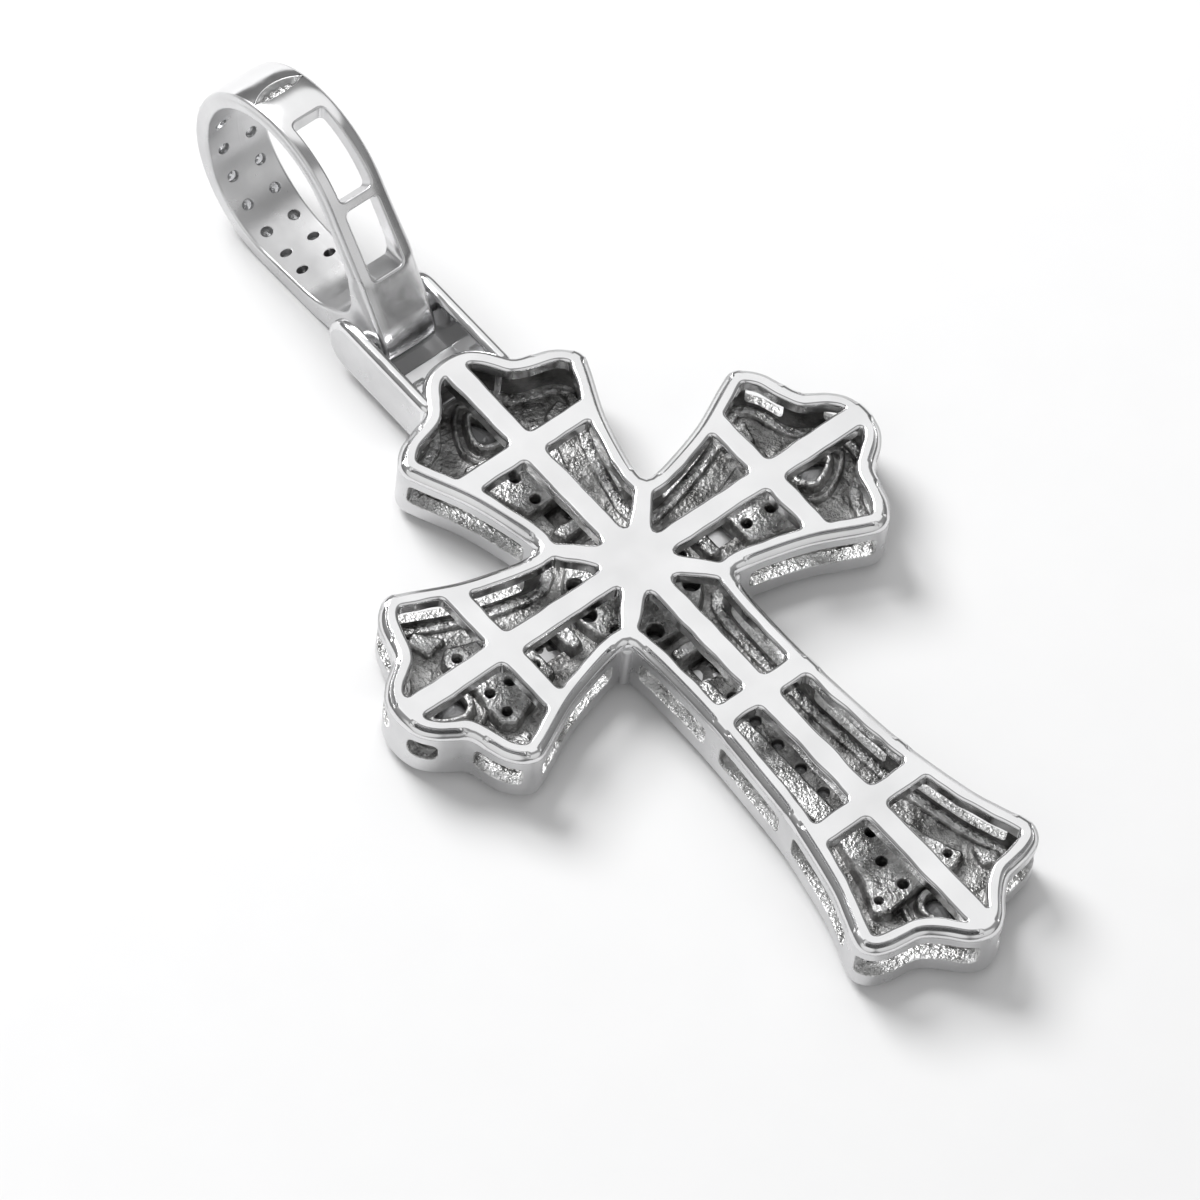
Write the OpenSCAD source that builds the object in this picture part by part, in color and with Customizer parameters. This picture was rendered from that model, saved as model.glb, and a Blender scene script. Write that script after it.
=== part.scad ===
// Cross pendant lying face down, with its open back up and its loop bail on a hinge pin.
// Lengths are millimetres. X runs across the short arms, Y from the foot to the bail
// and Z up from the surface that the front rests on.

/* [Cross] */
// Height of the back face above the surface
back_height = 3.9; // [3.5:0.1:5]
// Height of the front border above the surface
border_height = 0.45; // [0.3:0.05:0.6]
// Height of the inside ledge above the surface
ledge_height = 1.1; // [1:0.05:1.4]
// Thickness of the side walls
wall = 0.5; // [0.4:0.05:0.7]
// Width of the polished rim round the back
rim_width = 0.95; // [0.8:0.05:1.2]
// Thickness of the rim and bars of the back frame
frame_thickness = 0.8; // [0.5:0.05:1]
// Width of the bar along the middle of each arm
spine_width = 1.32; // [1:0.02:1.8]
// Width of the bars across the arms
crossbar_width = 1.25; // [0.8:0.05:1.6]

/* [Side openings] */
// Height of the bottom of the long side openings
slot_bottom = 1.5; // [1.1:0.05:1.6]
// Height of the long side openings
slot_height = 1.35; // [0.8:0.05:1.5]
// Height of the bottom of the thin step round the rim's edge
groove_bottom = 3.62; // [3.4:0.02:3.7]
// Height that the step's cut reaches above its bottom, past the rim's top
groove_height = 0.6; // [0.5:0.05:0.8]
// Width of the thin step
groove_depth = 0.42; // [0.2:0.02:0.46]

/* [Hinge] */
// Distance from the crossing to the hinge pin
pin_distance = 18.9; // [18.5:0.1:20]
// Height of the hinge pin above the surface
pin_height = 2.2; // [2.1:0.1:2.4]
// Radius of the hinge pin
pin_radius = 0.6; // [0.5:0.05:0.7]
// Length of the hinge pin
pin_length = 5.16; // [5:0.02:5.3]
// Space between the two ears
ear_gap = 4.1; // [4:0.1:4.4]
// Thickness of each ear
ear_thickness = 0.75; // [0.7:0.05:1]
// Length of the plate between the ears, past the rim
bridge_length = 1.6; // [1:0.1:1.8]
// Thickness of the plate between the ears
bridge_thickness = 0.8; // [0.5:0.05:1]

/* [Bail] */
// Thickness of the bail's band
band_thickness = 1; // [0.8:0.05:1.2]
// Width of the bail at the hinge
knuckle_width = 3.3; // [3:0.1:3.6]
// Width of the bail's front band
band_width = 3.8; // [3.4:0.1:3.9]
// Width of the bail's back band
back_band_width = 3.4; // [3:0.1:3.8]
// Width of the openings in the back band
bail_window_width = 1.95; // [1.5:0.05:2.2]

/* [Stones] */
// Radius of the centre stone
centre_stone_r = 1.75; // [1.5:0.05:1.8]
// Radius of the stones in the ring round it
halo_stone_r = 0.78; // [0.6:0.02:0.8]
// Radius of that ring
halo_ring_r = 2.85; // [2.8:0.05:3]
// Half width of the pear stones at the ends of the arms
pear_stone_r = 1.05; // [0.9:0.05:1.1]
// Radius of the stones in the border
border_stone_r = 0.45; // [0.35:0.01:0.45]
// Radius of the stones on the bail
bail_stone_r = 0.74; // [0.6:0.02:0.76]
// Gap between a stone and its seat
seat_gap = 0.05; // [0.04:0.01:0.08]

/* [Hidden] */
$fn = 48;

white_gold = [0.87, 0.87, 0.88];
diamond = [0.8, 0.88, 0.95];

// Side of an arm from the crossing to its tip: [distance from the crossing, half width]
short_side = [[3.35, 3.35], [5, 3.65], [7.6, 4.4], [10.1, 5.55], [11, 5.82], [11.75, 5.45], [12.3, 4.75],
    [12.6, 3.9], [12.9, 2.95], [13.45, 2.5], [14.2, 1.95], [14.8, 1.15], [15, 0]];
foot_side = [[3.35, 3.35], [5.5, 3.2], [9, 3.2], [13, 3.45], [16, 3.75], [19.6, 4.5], [21.2, 5.05],
    [22.4, 5.5], [23.2, 5.62], [23.85, 5.2], [24.2, 4.4], [24.35, 3.5], [24.5, 2.75], [25.15, 1.95],
    [26.1, 1.05], [26.5, 0]];
// Side of the raised field of the front, in the same way
short_field = [[1.9, 1.9], [4.5, 2.05], [7.6, 2.85], [10.1, 3.95], [11.2, 3.7], [11.7, 2.6], [12.3, 1.6],
    [13.1, 1.05], [13.5, 0]];
foot_field = [[1.9, 1.9], [5, 1.75], [9, 1.75], [13, 1.95], [16, 2.25], [19.6, 3], [22.2, 3.9], [23, 3.6],
    [23.1, 2.4], [23.8, 1.5], [24.6, 0.95], [25, 0]];
foot_length = 26.5;
short_length = 15;
steps = 2;

// Openings in the side walls: [distance, half width] of the start, then of the end
short_slots = [[4.4, 3.2, 10.75, 5.45], [11.6, 5.35, 12.75, 3.2]];
tip_slots = [[14.9, 0.6, 14.05, 2]];
foot_slots = [[4.2, 3, 9.1, 3], [10.3, 3.05, 15.1, 3.4], [16.3, 3.55, 21.9, 5.1], [22.95, 5.5, 23.95, 5],
    [23.8, 5.1, 24.2, 3.3], [24.2, 3.3, 24.75, 2.15], [24.75, 2.15, 26.35, 0.6]];
short_grooves = [[4, 3.4, 10.8, 5.8], [11.4, 5.75, 12.7, 3.6]];
lobe_grooves = [[14.9, 0.7, 13, 2.8]];
foot_grooves = [[4, 3.2, 9.4, 3.2], [10, 3.25, 15.6, 3.7], [16, 3.8, 22.3, 5.44], [22.95, 5.6, 23.95, 5.1],
    [23.85, 5.2, 24.4, 3.3], [24.4, 3.3, 24.8, 2.4], [24.8, 2.4, 26.4, 0.65]];

// Bars of the back frame
short_bar_at = 8.37;
short_bar_reach = 4.1;
foot_bars = [[9.4, 2.9], [17.3, 3.5]];
brace_start = 1.57;
brace_end = [3.19, 2.5];
corner = short_side[0][0];

// Sunk places in the floor behind the front
pocket_start = 4.9;
pocket_length = 1.3;
pocket_width = 1.2;
pocket_height = 0.4;
channel_end = 16.6;
channel_height = 0.83;
disc_radius = 3.9;
disc_rise = 0.15;

// Rows of stones on the arms: [distance, offset to each side, radius, azure radius]
short_rows = [[6.8, 0.62, 0.5, 0.28], [8.35, 0.62, 0.55, 0.3], [9.6, 0.6, 0.5, 0.26], [9.6, 1.9, 0.55, 0.26]];
foot_rows = [[7.65, 0, 0.7, 0.28], [9.35, 0, 0.7, 0.28], [11.05, 0, 0.7, 0.28], [12.75, 0, 0.7, 0.28],
    [14.45, 0, 0.7, 0.28], [16.15, 0, 0.7, 0.28], [17.8, 0, 0.7, 0.28], [19.35, 0.66, 0.56, 0.28],
    [20.95, 0.66, 0.56, 0.28], [20.95, 2.2, 0.5, 0.22]];
pear_distance = [11.35, 22.75];
pear_length = 1.8;
halo_azure = 0.45;
centre_azure = 1.05;
border_azure = 0.17;
border_inset = 0.78;
border_pitch = 1.45;
table_depth = 0.04;

// Circles that the bail's side view is drawn round: [distance from the pin, radius]
bail_outer = [[0, 1.75], [4, 3.9], [8.6, 5.9]];
bail_inner = [[3.95, 2.2], [5.6, 3.55], [8.6, 5.9 - band_thickness]];
bail_windows = [[2.1, 5.6], [6.1, 10.8]];
crescent_angle = 45;
crescent_height = 0.8;
crescent_width = 2.5;
crescent_depth = 0.5;
bail_step = 10;
bail_pairs = 7;
bail_pitch = 2;
bail_row_gap = 1.75;
bail_first_angle = 26;
bail_azure = 0.3;
knuckle_bore = pin_radius + 0.06;
ear_bore = pin_radius + 0.02;
bore_length = pin_length + 0.04;
ear_start = 12.9;

// The bail hangs down from its pin until its front band meets the surface
bail_lift = asin((bail_outer[2][1] - pin_height) / bail_outer[2][0]);
bail_reach = pin_distance + bail_outer[2][0] * cos(bail_lift) + bail_outer[2][1];
row_shift = (foot_length - bail_reach) / 2;

function spline_point(a, b, c, d, t) =
    0.5 * (2 * b + (c - a) * t + (2 * a - 5 * b + 4 * c - d) * t * t + (3 * b - a - 3 * c + d) * t * t * t);

function spline(rows) = let (last = len(rows) - 1) [
    for (i = [0 : last - 1], s = [0 : steps - 1])
        spline_point(rows[max(i - 1, 0)], rows[i], rows[i + 1], rows[min(i + 2, last)], s / steps)
];

// Both sides of an arm, from one inner corner round the tip to the other
function arm_rows(side) =
    concat([for (r = side) [r[0], -r[1]]], [for (i = [len(side) - 2 : -1 : 0]) side[i]]);

function turned(points, angle) =
    [for (p = points) [p[0] * cos(angle) - p[1] * sin(angle), p[0] * sin(angle) + p[1] * cos(angle)]];

function unit(v) = v / norm(v);
function left_of(v) = [-v[1], v[0]];

// A closed outline moved inwards by the same distance all round
function inset(points, distance) = let (n = len(points)) [
    for (i = [0 : n - 1])
        let (before = left_of(unit(points[i] - points[(i + n - 1) % n])),
             after = left_of(unit(points[(i + 1) % n] - points[i])))
        points[i] + distance * (before + after) / (1 + before * after)
];

// Length along a closed outline up to each point
function run_lengths(points, i = 0, sum = 0) = i > len(points) ? [] :
    concat([sum], run_lengths(points, i + 1,
        sum + norm(points[(i + 1) % len(points)] - points[i % len(points)])));

// Places at even steps along a closed outline
function places(points, pitch) = let (
    runs = run_lengths(points),
    total = runs[len(points)],
    count = floor(total / pitch)
) [
    for (k = [0 : count - 1])
        let (at = (k + 0.5) * total / count, i = max([for (j = [0 : len(points) - 1]) runs[j] <= at ? j : 0]))
        points[i] + (points[(i + 1) % len(points)] - points[i]) * (at - runs[i]) / (runs[i + 1] - runs[i])
];

function ring(count, radius, first = 0) =
    [for (i = [0 : count - 1]) radius * [cos(first + i * 360 / count), sin(first + i * 360 / count)]];

// A cross of four arms: three short ones and the foot
function cross_of(short_arm, foot) =
    concat(short_arm, turned(short_arm, 90), turned(short_arm, 180), turned(foot, 270));

// The rows of an arm without the last, which the next arm starts with
function straight(rows) = [for (i = [0 : len(rows) - 2]) rows[i]];

outline = cross_of(spline(arm_rows(short_side)), spline(arm_rows(foot_side)));
field = cross_of(straight(arm_rows(short_field)), straight(arm_rows(foot_field)));

// Direction in which the straight line between two circles leaves them
function tangent_angle(rows, i) = acos((rows[i][1] - rows[i + 1][1]) / (rows[i + 1][0] - rows[i][0]));

// Upper half of a drop that wraps three circles, from its wide end to its narrow end
function drop_half(rows) = let (a = tangent_angle(rows, 0), b = tangent_angle(rows, 1)) concat(
    [for (t = [0 : bail_step : b - 1]) [rows[2][0] + rows[2][1] * cos(t), rows[2][1] * sin(t)]],
    [for (k = [0 : 3]) let (t = b + (a - b) * k / 3)
        [rows[1][0] + rows[1][1] * cos(t), rows[1][1] * sin(t)]],
    [for (k = [0 : 4]) let (t = a + (180 - a) * k / 4)
        [rows[0][0] + rows[0][1] * cos(t), rows[0][1] * sin(t)]]);

function drop(rows) = let (half = drop_half(rows))
    concat(half, [for (i = [len(half) - 2 : -1 : 1]) [half[i][0], -half[i][1]]]);

// Place on the front of the bail: [distance from the pin, height, direction of the surface]
function bail_place(run) = let (
    last = tangent_angle(bail_outer, 1),
    wide = bail_outer[2],
    angle = bail_first_angle + run / wide[1] * 180 / PI,
    flank = max(0, (angle - last) * PI / 180 * wide[1]),
    t = min(angle, last)
) [wide[0] + wide[1] * cos(t) - flank * sin(t), -wide[1] * sin(t) - flank * cos(t), -t];

// Rows of stones on one arm as [x, y, radius, azure radius]
function arm_places(rows, angle) = [
    for (r = rows, side = r[1] == 0 ? [0] : [-1, 1])
        let (p = turned([[r[0], side * r[1]]], angle)[0])
        [p[0], p[1], r[2], r[3]]
];

arm_stone_places = concat(arm_places(short_rows, 0), arm_places(short_rows, 90), arm_places(short_rows, 180),
    arm_places(foot_rows, 270));
border_stone_places = [
    for (p = places(inset(outline, border_inset), border_pitch))
        if (norm(p) > disc_radius + border_stone_r) p
];
bail_stone_places = [
    for (k = [0 : bail_pairs - 1], side = [-1, 1])
        concat([side * bail_row_gap / 2], bail_place(k * bail_pitch))
];

function round_girdle(r) = ring(8, r, 22.5);
function pear_girdle(r) = [[pear_length, 0], [pear_length / 2, 0.75 * r], [0, r], [-0.71 * r, 0.71 * r],
    [-r, 0], [-0.71 * r, -0.71 * r], [0, -r], [pear_length / 2, -0.75 * r]];
function crown_height(r) = 0.3 * r;
function pavilion_depth(r) = 0.85 * r;

module in_row() translate([0, row_shift, 0]) children();

module at_pear(arm)
    rotate(arm * 90) translate([arm == 3 ? pear_distance[1] : pear_distance[0], 0, 0]) children();

module in_bail()
    in_row() translate([0, pin_distance, pin_height]) rotate([bail_lift, 0, 0]) children();

module at_bail_place(p)
    translate([p[0], p[1], p[2]]) rotate([p[3] + 90, 0, 0]) children();

// A cut stone with its table facing down and its point up
module cut_stone(girdle, r) {
    n = len(girdle);
    table_scale = 0.58;
    crown = table_depth + crown_height(r);
    polyhedron(
        points = concat([for (p = girdle) [p[0] * table_scale, p[1] * table_scale, table_depth]],
            [for (p = girdle) [p[0], p[1], crown]], [[0, 0, crown + pavilion_depth(r)]]),
        faces = concat([[for (i = [0 : n - 1]) i]],
            [for (i = [0 : n - 1]) [i, n + i, n + (i + 1) % n, (i + 1) % n]],
            [for (i = [0 : n - 1]) [n + (i + 1) % n, n + i, 2 * n]]));
}

// The hole that a round stone sits in, with a smaller hole through to the back
module seat(r, azure, depth) {
    rim = table_depth + crown_height(r) + 0.1;
    rotate_extrude()
        polygon([[0, -0.3], [r + seat_gap, -0.3], [r + seat_gap, rim],
            [azure, rim + 0.9 * (r + seat_gap - azure)], [azure, depth], [0, depth]]);
}

module pear_seat() {
    rims = [[1, 0.6], [0.8, 0.85], [0.6, 1.6]];
    for (rim = rims) translate([0, 0, -0.3]) linear_extrude(rim[1] + 0.3)
        polygon(inset([for (p = pear_girdle(pear_stone_r)) p * rim[0]], -seat_gap));
}

// A straight opening along a wall, between two places given as [distance, half width]
module wall_cut(row, bottom, height, side) {
    start = [row[0], side * row[1]];
    end = [row[2], side * row[3]];
    run = end - start;
    reach = 1.7;
    translate([(start[0] + end[0]) / 2, (start[1] + end[1]) / 2, bottom + height / 2])
        rotate(atan2(run[1], run[0])) cube([norm(run), reach, height], center = true);
}

module arm_cuts(rows, bottom, height)
    for (row = rows, side = [-1, 1]) wall_cut(row, bottom, height, side);

module all_slots() {
    rotate(90) arm_cuts([short_slots[0]], slot_bottom, slot_height);
    for (arm = [0, 2]) rotate(arm * 90) arm_cuts(short_slots, slot_bottom, slot_height);
    for (arm = [0, 2]) rotate(arm * 90) arm_cuts(tip_slots, slot_bottom + 0.2, slot_height - 0.15);
    rotate(270) arm_cuts(foot_slots, slot_bottom, slot_height);
}

module all_grooves() difference() {
    union() {
        for (arm = [0 : 2]) rotate(arm * 90) arm_cuts(short_grooves, groove_bottom, groove_height);
        for (arm = [0, 2]) rotate(arm * 90) arm_cuts(lobe_grooves, groove_bottom, groove_height);
        rotate(270) arm_cuts(foot_grooves, groove_bottom, groove_height);
    }
    translate([0, 0, groove_bottom - 1]) linear_extrude(groove_height + 2)
        polygon(inset(outline, groove_depth));
}

module hollow_shell() {
    under_frame = back_height - frame_thickness;
    difference() {
        union() {
            translate([0, 0, border_height]) linear_extrude(back_height - border_height) polygon(outline);
            linear_extrude(ledge_height) polygon(field);
            cylinder(r = disc_radius, h = ledge_height);
        }
        translate([0, 0, ledge_height]) linear_extrude(under_frame - ledge_height)
            polygon(inset(outline, wall));
        translate([0, 0, ledge_height + 0.5]) linear_extrude(back_height) polygon(inset(outline, rim_width));
    }
}

// A flat bar of the back frame, centred on a place
module bar(at, size)
    translate([at[0] - size[0] / 2, at[1] - size[1] / 2, back_height - frame_thickness])
        cube([size[0], size[1], frame_thickness]);

module brace() {
    far = corner + 0.05;
    translate([0, 0, back_height - frame_thickness]) linear_extrude(frame_thickness)
        polygon([[0, 0], [brace_start, spine_width / 2], brace_end, [far, brace_end[1]], [far, far],
            [brace_end[1], far], [brace_end[1], brace_end[0]], [spine_width / 2, brace_start]]);
}

module back_bars() {
    ends = 0.6;
    bar([0, 0], [2 * (short_length - ends), spine_width]);
    bar([0, (short_length - foot_length) / 2], [spine_width, short_length + foot_length - 2 * ends]);
    for (arm = [0 : 2]) rotate(arm * 90) bar([short_bar_at, 0], [crossbar_width, 2 * short_bar_reach]);
    for (b = foot_bars) bar([0, -b[0]], [2 * b[1], crossbar_width]);
    for (arm = [0 : 3]) rotate(arm * 90) brace();
}

module ear(side) {
    radius = pin_height - border_height - 0.1;
    near = side > 0 ? ear_gap / 2 : -ear_gap / 2 - ear_thickness;
    translate([near, pin_distance, pin_height]) rotate([0, 90, 0]) cylinder(r = radius, h = ear_thickness);
    translate([near, ear_start, pin_height - radius])
        cube([ear_thickness, pin_distance - ear_start, 2 * radius]);
}

module bridge() {
    start = short_length - 1;
    translate([-ear_gap / 2 - 0.05, start, border_height + 0.1])
        cube([ear_gap + 0.1, bridge_length + short_length - start, bridge_thickness]);
}

module floor_pockets() {
    for (arm = [0 : 3]) rotate(arm * 90)
        translate([pocket_start, -pocket_width / 2, pocket_height]) cube([pocket_length, pocket_width, 2]);
    translate([-pocket_width / 2, -channel_end, channel_height])
        cube([pocket_width, channel_end - pocket_start - pocket_length, 1]);
}

module cross_seats() {
    through = 1.6;
    seat(centre_stone_r, centre_azure, through);
    for (p = ring(10, halo_ring_r)) translate([p[0], p[1], 0]) seat(halo_stone_r, halo_azure, through);
    for (p = arm_stone_places) translate([p[0], p[1], 0]) seat(p[2], p[3], through);
    for (p = border_stone_places) translate([p[0], p[1], border_height])
        seat(border_stone_r, border_azure, through - border_height);
    for (arm = [0 : 3]) at_pear(arm) pear_seat();
}

module cross_body() color(white_gold) in_row() difference() {
    union() {
        hollow_shell();
        cylinder(r = disc_radius, h = ledge_height + disc_rise);
        back_bars();
        ear(1);
        ear(-1);
        bridge();
    }
    floor_pockets();
    all_slots();
    all_grooves();
    cross_seats();
    translate([0, pin_distance, pin_height]) rotate([0, 90, 0])
        cylinder(r = ear_bore, h = bore_length, center = true);
}

module hinge_pin() color(white_gold) in_row() translate([0, pin_distance, pin_height]) rotate([0, 90, 0])
    cylinder(r = pin_radius, h = pin_length, center = true);

module bail_windows_cut() {
    for (w = bail_windows) translate([-bail_window_width / 2, w[0], 0.5])
        cube([bail_window_width, w[1] - w[0], 7]);
    translate([0, bail_outer[2][0], 0]) rotate([crescent_angle, 0, 0])
        translate([-crescent_width / 2, bail_outer[2][1] - crescent_depth, -crescent_height / 2])
            cube([crescent_width, 3, crescent_height]);
}

module bail() color(white_gold) in_bail() difference() {
    intersection() {
        rotate([90, 0, 90]) linear_extrude(band_width + 1, center = true) polygon(drop(bail_outer));
        linear_extrude(14, center = true)
            polygon([[-knuckle_width / 2, -2], [knuckle_width / 2, -2], [band_width / 2, 9],
                [band_width / 2, 16], [-band_width / 2, 16], [-band_width / 2, 9]]);
        rotate([90, 0, 0]) linear_extrude(40, center = true)
            polygon([[-band_width / 2, -6], [band_width / 2, -6], [back_band_width / 2, 6],
                [-back_band_width / 2, 6]]);
    }
    rotate([90, 0, 90]) linear_extrude(band_width + 2, center = true) polygon(drop(bail_inner));
    rotate([0, 90, 0]) cylinder(r = knuckle_bore, h = band_width + 2, center = true);
    bail_windows_cut();
    for (p = bail_stone_places) at_bail_place(p) seat(bail_stone_r, bail_azure, band_thickness + 0.8);
}

module centre_stone() color(diamond) in_row() cut_stone(round_girdle(centre_stone_r), centre_stone_r);

module halo_stone(i) {
    p = ring(10, halo_ring_r)[i];
    color(diamond) in_row() translate([p[0], p[1], 0]) cut_stone(round_girdle(halo_stone_r), halo_stone_r);
}

module pear_stone(arm)
    color(diamond) in_row() at_pear(arm) cut_stone(pear_girdle(pear_stone_r), pear_stone_r);

module arm_stones() color(diamond) in_row() for (p = arm_stone_places)
    translate([p[0], p[1], 0]) cut_stone(round_girdle(p[2]), p[2]);

module border_stones() color(diamond) in_row() for (p = border_stone_places)
    translate([p[0], p[1], border_height]) cut_stone(round_girdle(border_stone_r), border_stone_r);

module bail_stones() color(diamond) in_bail() for (p = bail_stone_places)
    at_bail_place(p) cut_stone(round_girdle(bail_stone_r), bail_stone_r);

cross_body();
hinge_pin();
bail();
centre_stone();
for (i = [0 : 9]) halo_stone(i);
pear_stone(0);  // pear_stone_right
pear_stone(1);  // pear_stone_top
pear_stone(2);  // pear_stone_left
pear_stone(3);  // pear_stone_foot
arm_stones();
border_stones();
bail_stones();
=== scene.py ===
import math
import time

import bmesh
import bpy
import numpy as np
from mathutils import Matrix, Vector, noise
from mathutils.geometry import delaunay_2d_cdt
from mathutils.kdtree import KDTree


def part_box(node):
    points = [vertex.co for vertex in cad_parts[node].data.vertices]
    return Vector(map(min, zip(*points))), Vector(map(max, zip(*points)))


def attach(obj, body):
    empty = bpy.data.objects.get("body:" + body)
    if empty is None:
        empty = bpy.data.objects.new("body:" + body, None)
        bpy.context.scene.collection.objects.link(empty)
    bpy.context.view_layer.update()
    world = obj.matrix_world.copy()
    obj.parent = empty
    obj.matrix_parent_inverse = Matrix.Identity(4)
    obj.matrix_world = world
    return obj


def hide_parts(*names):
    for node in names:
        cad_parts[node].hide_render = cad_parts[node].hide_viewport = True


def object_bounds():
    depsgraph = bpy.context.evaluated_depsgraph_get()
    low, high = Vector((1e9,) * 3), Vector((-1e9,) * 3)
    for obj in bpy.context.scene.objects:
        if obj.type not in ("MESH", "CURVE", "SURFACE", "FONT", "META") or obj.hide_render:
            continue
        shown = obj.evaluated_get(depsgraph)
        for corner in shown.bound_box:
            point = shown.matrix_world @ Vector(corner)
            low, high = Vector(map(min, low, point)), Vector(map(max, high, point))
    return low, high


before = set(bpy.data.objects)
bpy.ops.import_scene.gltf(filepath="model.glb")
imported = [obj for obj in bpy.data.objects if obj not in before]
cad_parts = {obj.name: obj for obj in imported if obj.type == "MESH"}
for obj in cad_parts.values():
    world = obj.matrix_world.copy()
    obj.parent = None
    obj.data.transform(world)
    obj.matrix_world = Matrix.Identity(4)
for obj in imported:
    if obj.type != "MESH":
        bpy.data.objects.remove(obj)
cadLow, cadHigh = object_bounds()
startTime = time.time()
scene = bpy.context.scene
mm = 0.001
quarter = math.pi / 2


def report(words):
    print("cross pendant: %s, %.1f s" % (words, time.time() - startTime))


def middle(node):
    low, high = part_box(node)
    return (Vector(low) + Vector(high)) / 2 / mm


# Shapes are drawn in millimetres from the crossing or from the pin, and moved into the frame when made
crossing = middle("centre_stone")
crossing.z = 0
pin = middle("hinge_pin")
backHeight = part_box("cross_body")[1][2] / mm
report("frame loaded")


# Lines are lists of (x, y) pairs; the arms are numbered from +X leftward
rightArm, topArm, leftArm, footArm = range(4)
armWays = ((1, 0), (0, 1), (-1, 0), (0, -1))


def armPoint(arm, along, across):
    c, s = armWays[arm]
    return (along * c - across * s, along * s + across * c)


def bothSides(side):
    # the half widths down one side of an arm and back up the other
    return [(a, -w) for a, w in side] + [(a, w) for a, w in reversed(side[:-1])]


def curveThrough(rows, steps):
    points, last = [], len(rows) - 1
    for i in range(last):
        a, b, c, d = (Vector(rows[max(0, min(last, j))]) for j in (i - 1, i, i + 1, i + 2))
        for k in range(steps):
            t = k / steps
            p = 2 * b + (c - a) * t + (2 * a - 5 * b + 4 * c - d) * t ** 2 + (3 * b - a - 3 * c + d) * t ** 3
            points.append((p.x / 2, p.y / 2))
    return points


def lengthsAlong(points, closed=True):
    p = np.array(points)
    ends = np.roll(p, -1, 0) if closed else p[1:]
    return np.concatenate([[0], np.cumsum(np.linalg.norm(ends - p[:len(ends)], axis=1))])


def pointAt(points, lengths, run, closed=True):
    total = lengths[-1]
    run = run % total if closed else min(max(run, 0), total)
    i = min(int(np.searchsorted(lengths, run, "right")) - 1, len(lengths) - 2)
    t = (run - lengths[i]) / max(lengths[i + 1] - lengths[i], 1e-9)
    a, b = points[i], points[(i + 1) % len(points)]
    return tuple(a[k] + (b[k] - a[k]) * t for k in range(len(a)))


def evenly(points, spacing, closed=True):
    lengths = lengthsAlong(points, closed)
    count = max(3, round(lengths[-1] / spacing))
    return [pointAt(points, lengths, lengths[-1] * k / count, closed) for k in range(count + (not closed))]


def filled(points, spacing):
    # keeps every corner and adds points along the long sides
    out = []
    for i, a in enumerate(points):
        b = points[(i + 1) % len(points)]
        parts = max(1, math.ceil(math.dist(a, b) / spacing))
        out += [(a[0] + (b[0] - a[0]) * k / parts, a[1] + (b[1] - a[1]) * k / parts) for k in range(parts)]
    return out


def areaOf(points):
    p = np.array(points)
    q = np.roll(p, -1, 0)
    return float(np.sum(p[:, 0] * q[:, 1] - q[:, 0] * p[:, 1])) / 2


def turned(points, leftward):
    return list(points) if (areaOf(points) > 0) == leftward else list(reversed(points))


def turnAt(a, b, c):
    first = math.atan2(b[1] - a[1], b[0] - a[0])
    second = math.atan2(c[1] - b[1], c[0] - b[0])
    return abs((second - first + math.pi) % (2 * math.pi) - math.pi)


def softened(points, radius, least=0.5, parts=5):
    # rounds each corner of a closed line that turns by more than least
    n = len(points)
    turns = [turnAt(points[i - 1], points[i], points[(i + 1) % n]) for i in range(n)]
    corners = [i for i in range(n) if turns[i] > least]
    if not corners:
        return points
    lengths = lengthsAlong(points)
    total = lengths[-1]
    room = [((lengths[corners[(k + 1) % len(corners)]] - lengths[c]) % total or total)
            for k, c in enumerate(corners)]
    reach = [min(radius * math.tan(min(turns[c], 2.6) / 2), 0.45 * room[k], 0.45 * room[k - 1])
             for k, c in enumerate(corners)]
    out = []
    for k, c in enumerate(corners):
        a, b = (Vector(pointAt(points, lengths, lengths[c] + side * reach[k])) for side in (-1, 1))
        m = Vector(points[c])
        for j in range(parts + 1):
            t = j / parts
            out.append(tuple(a * (1 - t) ** 2 + m * 2 * t * (1 - t) + b * t ** 2))
        after = reach[k]
        until = room[k] - reach[(k + 1) % len(corners)]
        for j in range(1, n):
            run = (lengths[(c + j) % n] - lengths[c]) % total
            if (c + j) % n == corners[(k + 1) % len(corners)]:
                break
            if after + 0.02 < run < until - 0.02:
                out.append(points[(c + j) % n])
    return out


def inwardMoves(points, closed=True):
    # for each place the way to its left, long enough to keep the line's sides parallel
    p = np.array(points, dtype=float)
    step = np.roll(p, -1, 0) - p
    step /= np.maximum(np.linalg.norm(step, axis=1), 1e-9)[:, None]
    before, after = np.roll(step, 1, 0), step.copy()
    if not closed:
        before[0], after[-1] = step[0], step[-2]
    left = np.stack([-(before[:, 1] + after[:, 1]), before[:, 0] + after[:, 0]], axis=1)
    size = 1 + np.sum(before * after, axis=1)
    return left / np.maximum(size, 0.6)[:, None]


def gapTo(places, points):
    # distance from each place to a closed line
    a = np.array(points)[None]
    b = np.roll(np.array(points), -1, 0)[None]
    p = np.array(places)[:, None]
    ab = b - a
    t = np.clip(np.sum((p - a) * ab, 2) / np.maximum(np.sum(ab * ab, 2), 1e-12), 0, 1)
    return np.min(np.linalg.norm(p - a - ab * t[:, :, None], axis=2), axis=1)


def inset(points, distance):
    moved = np.array(points) + inwardMoves(points) * distance
    gaps = gapTo(moved, points)
    return [tuple(m) for m, g in zip(moved, gaps) if g > 0.97 * abs(distance)]


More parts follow.
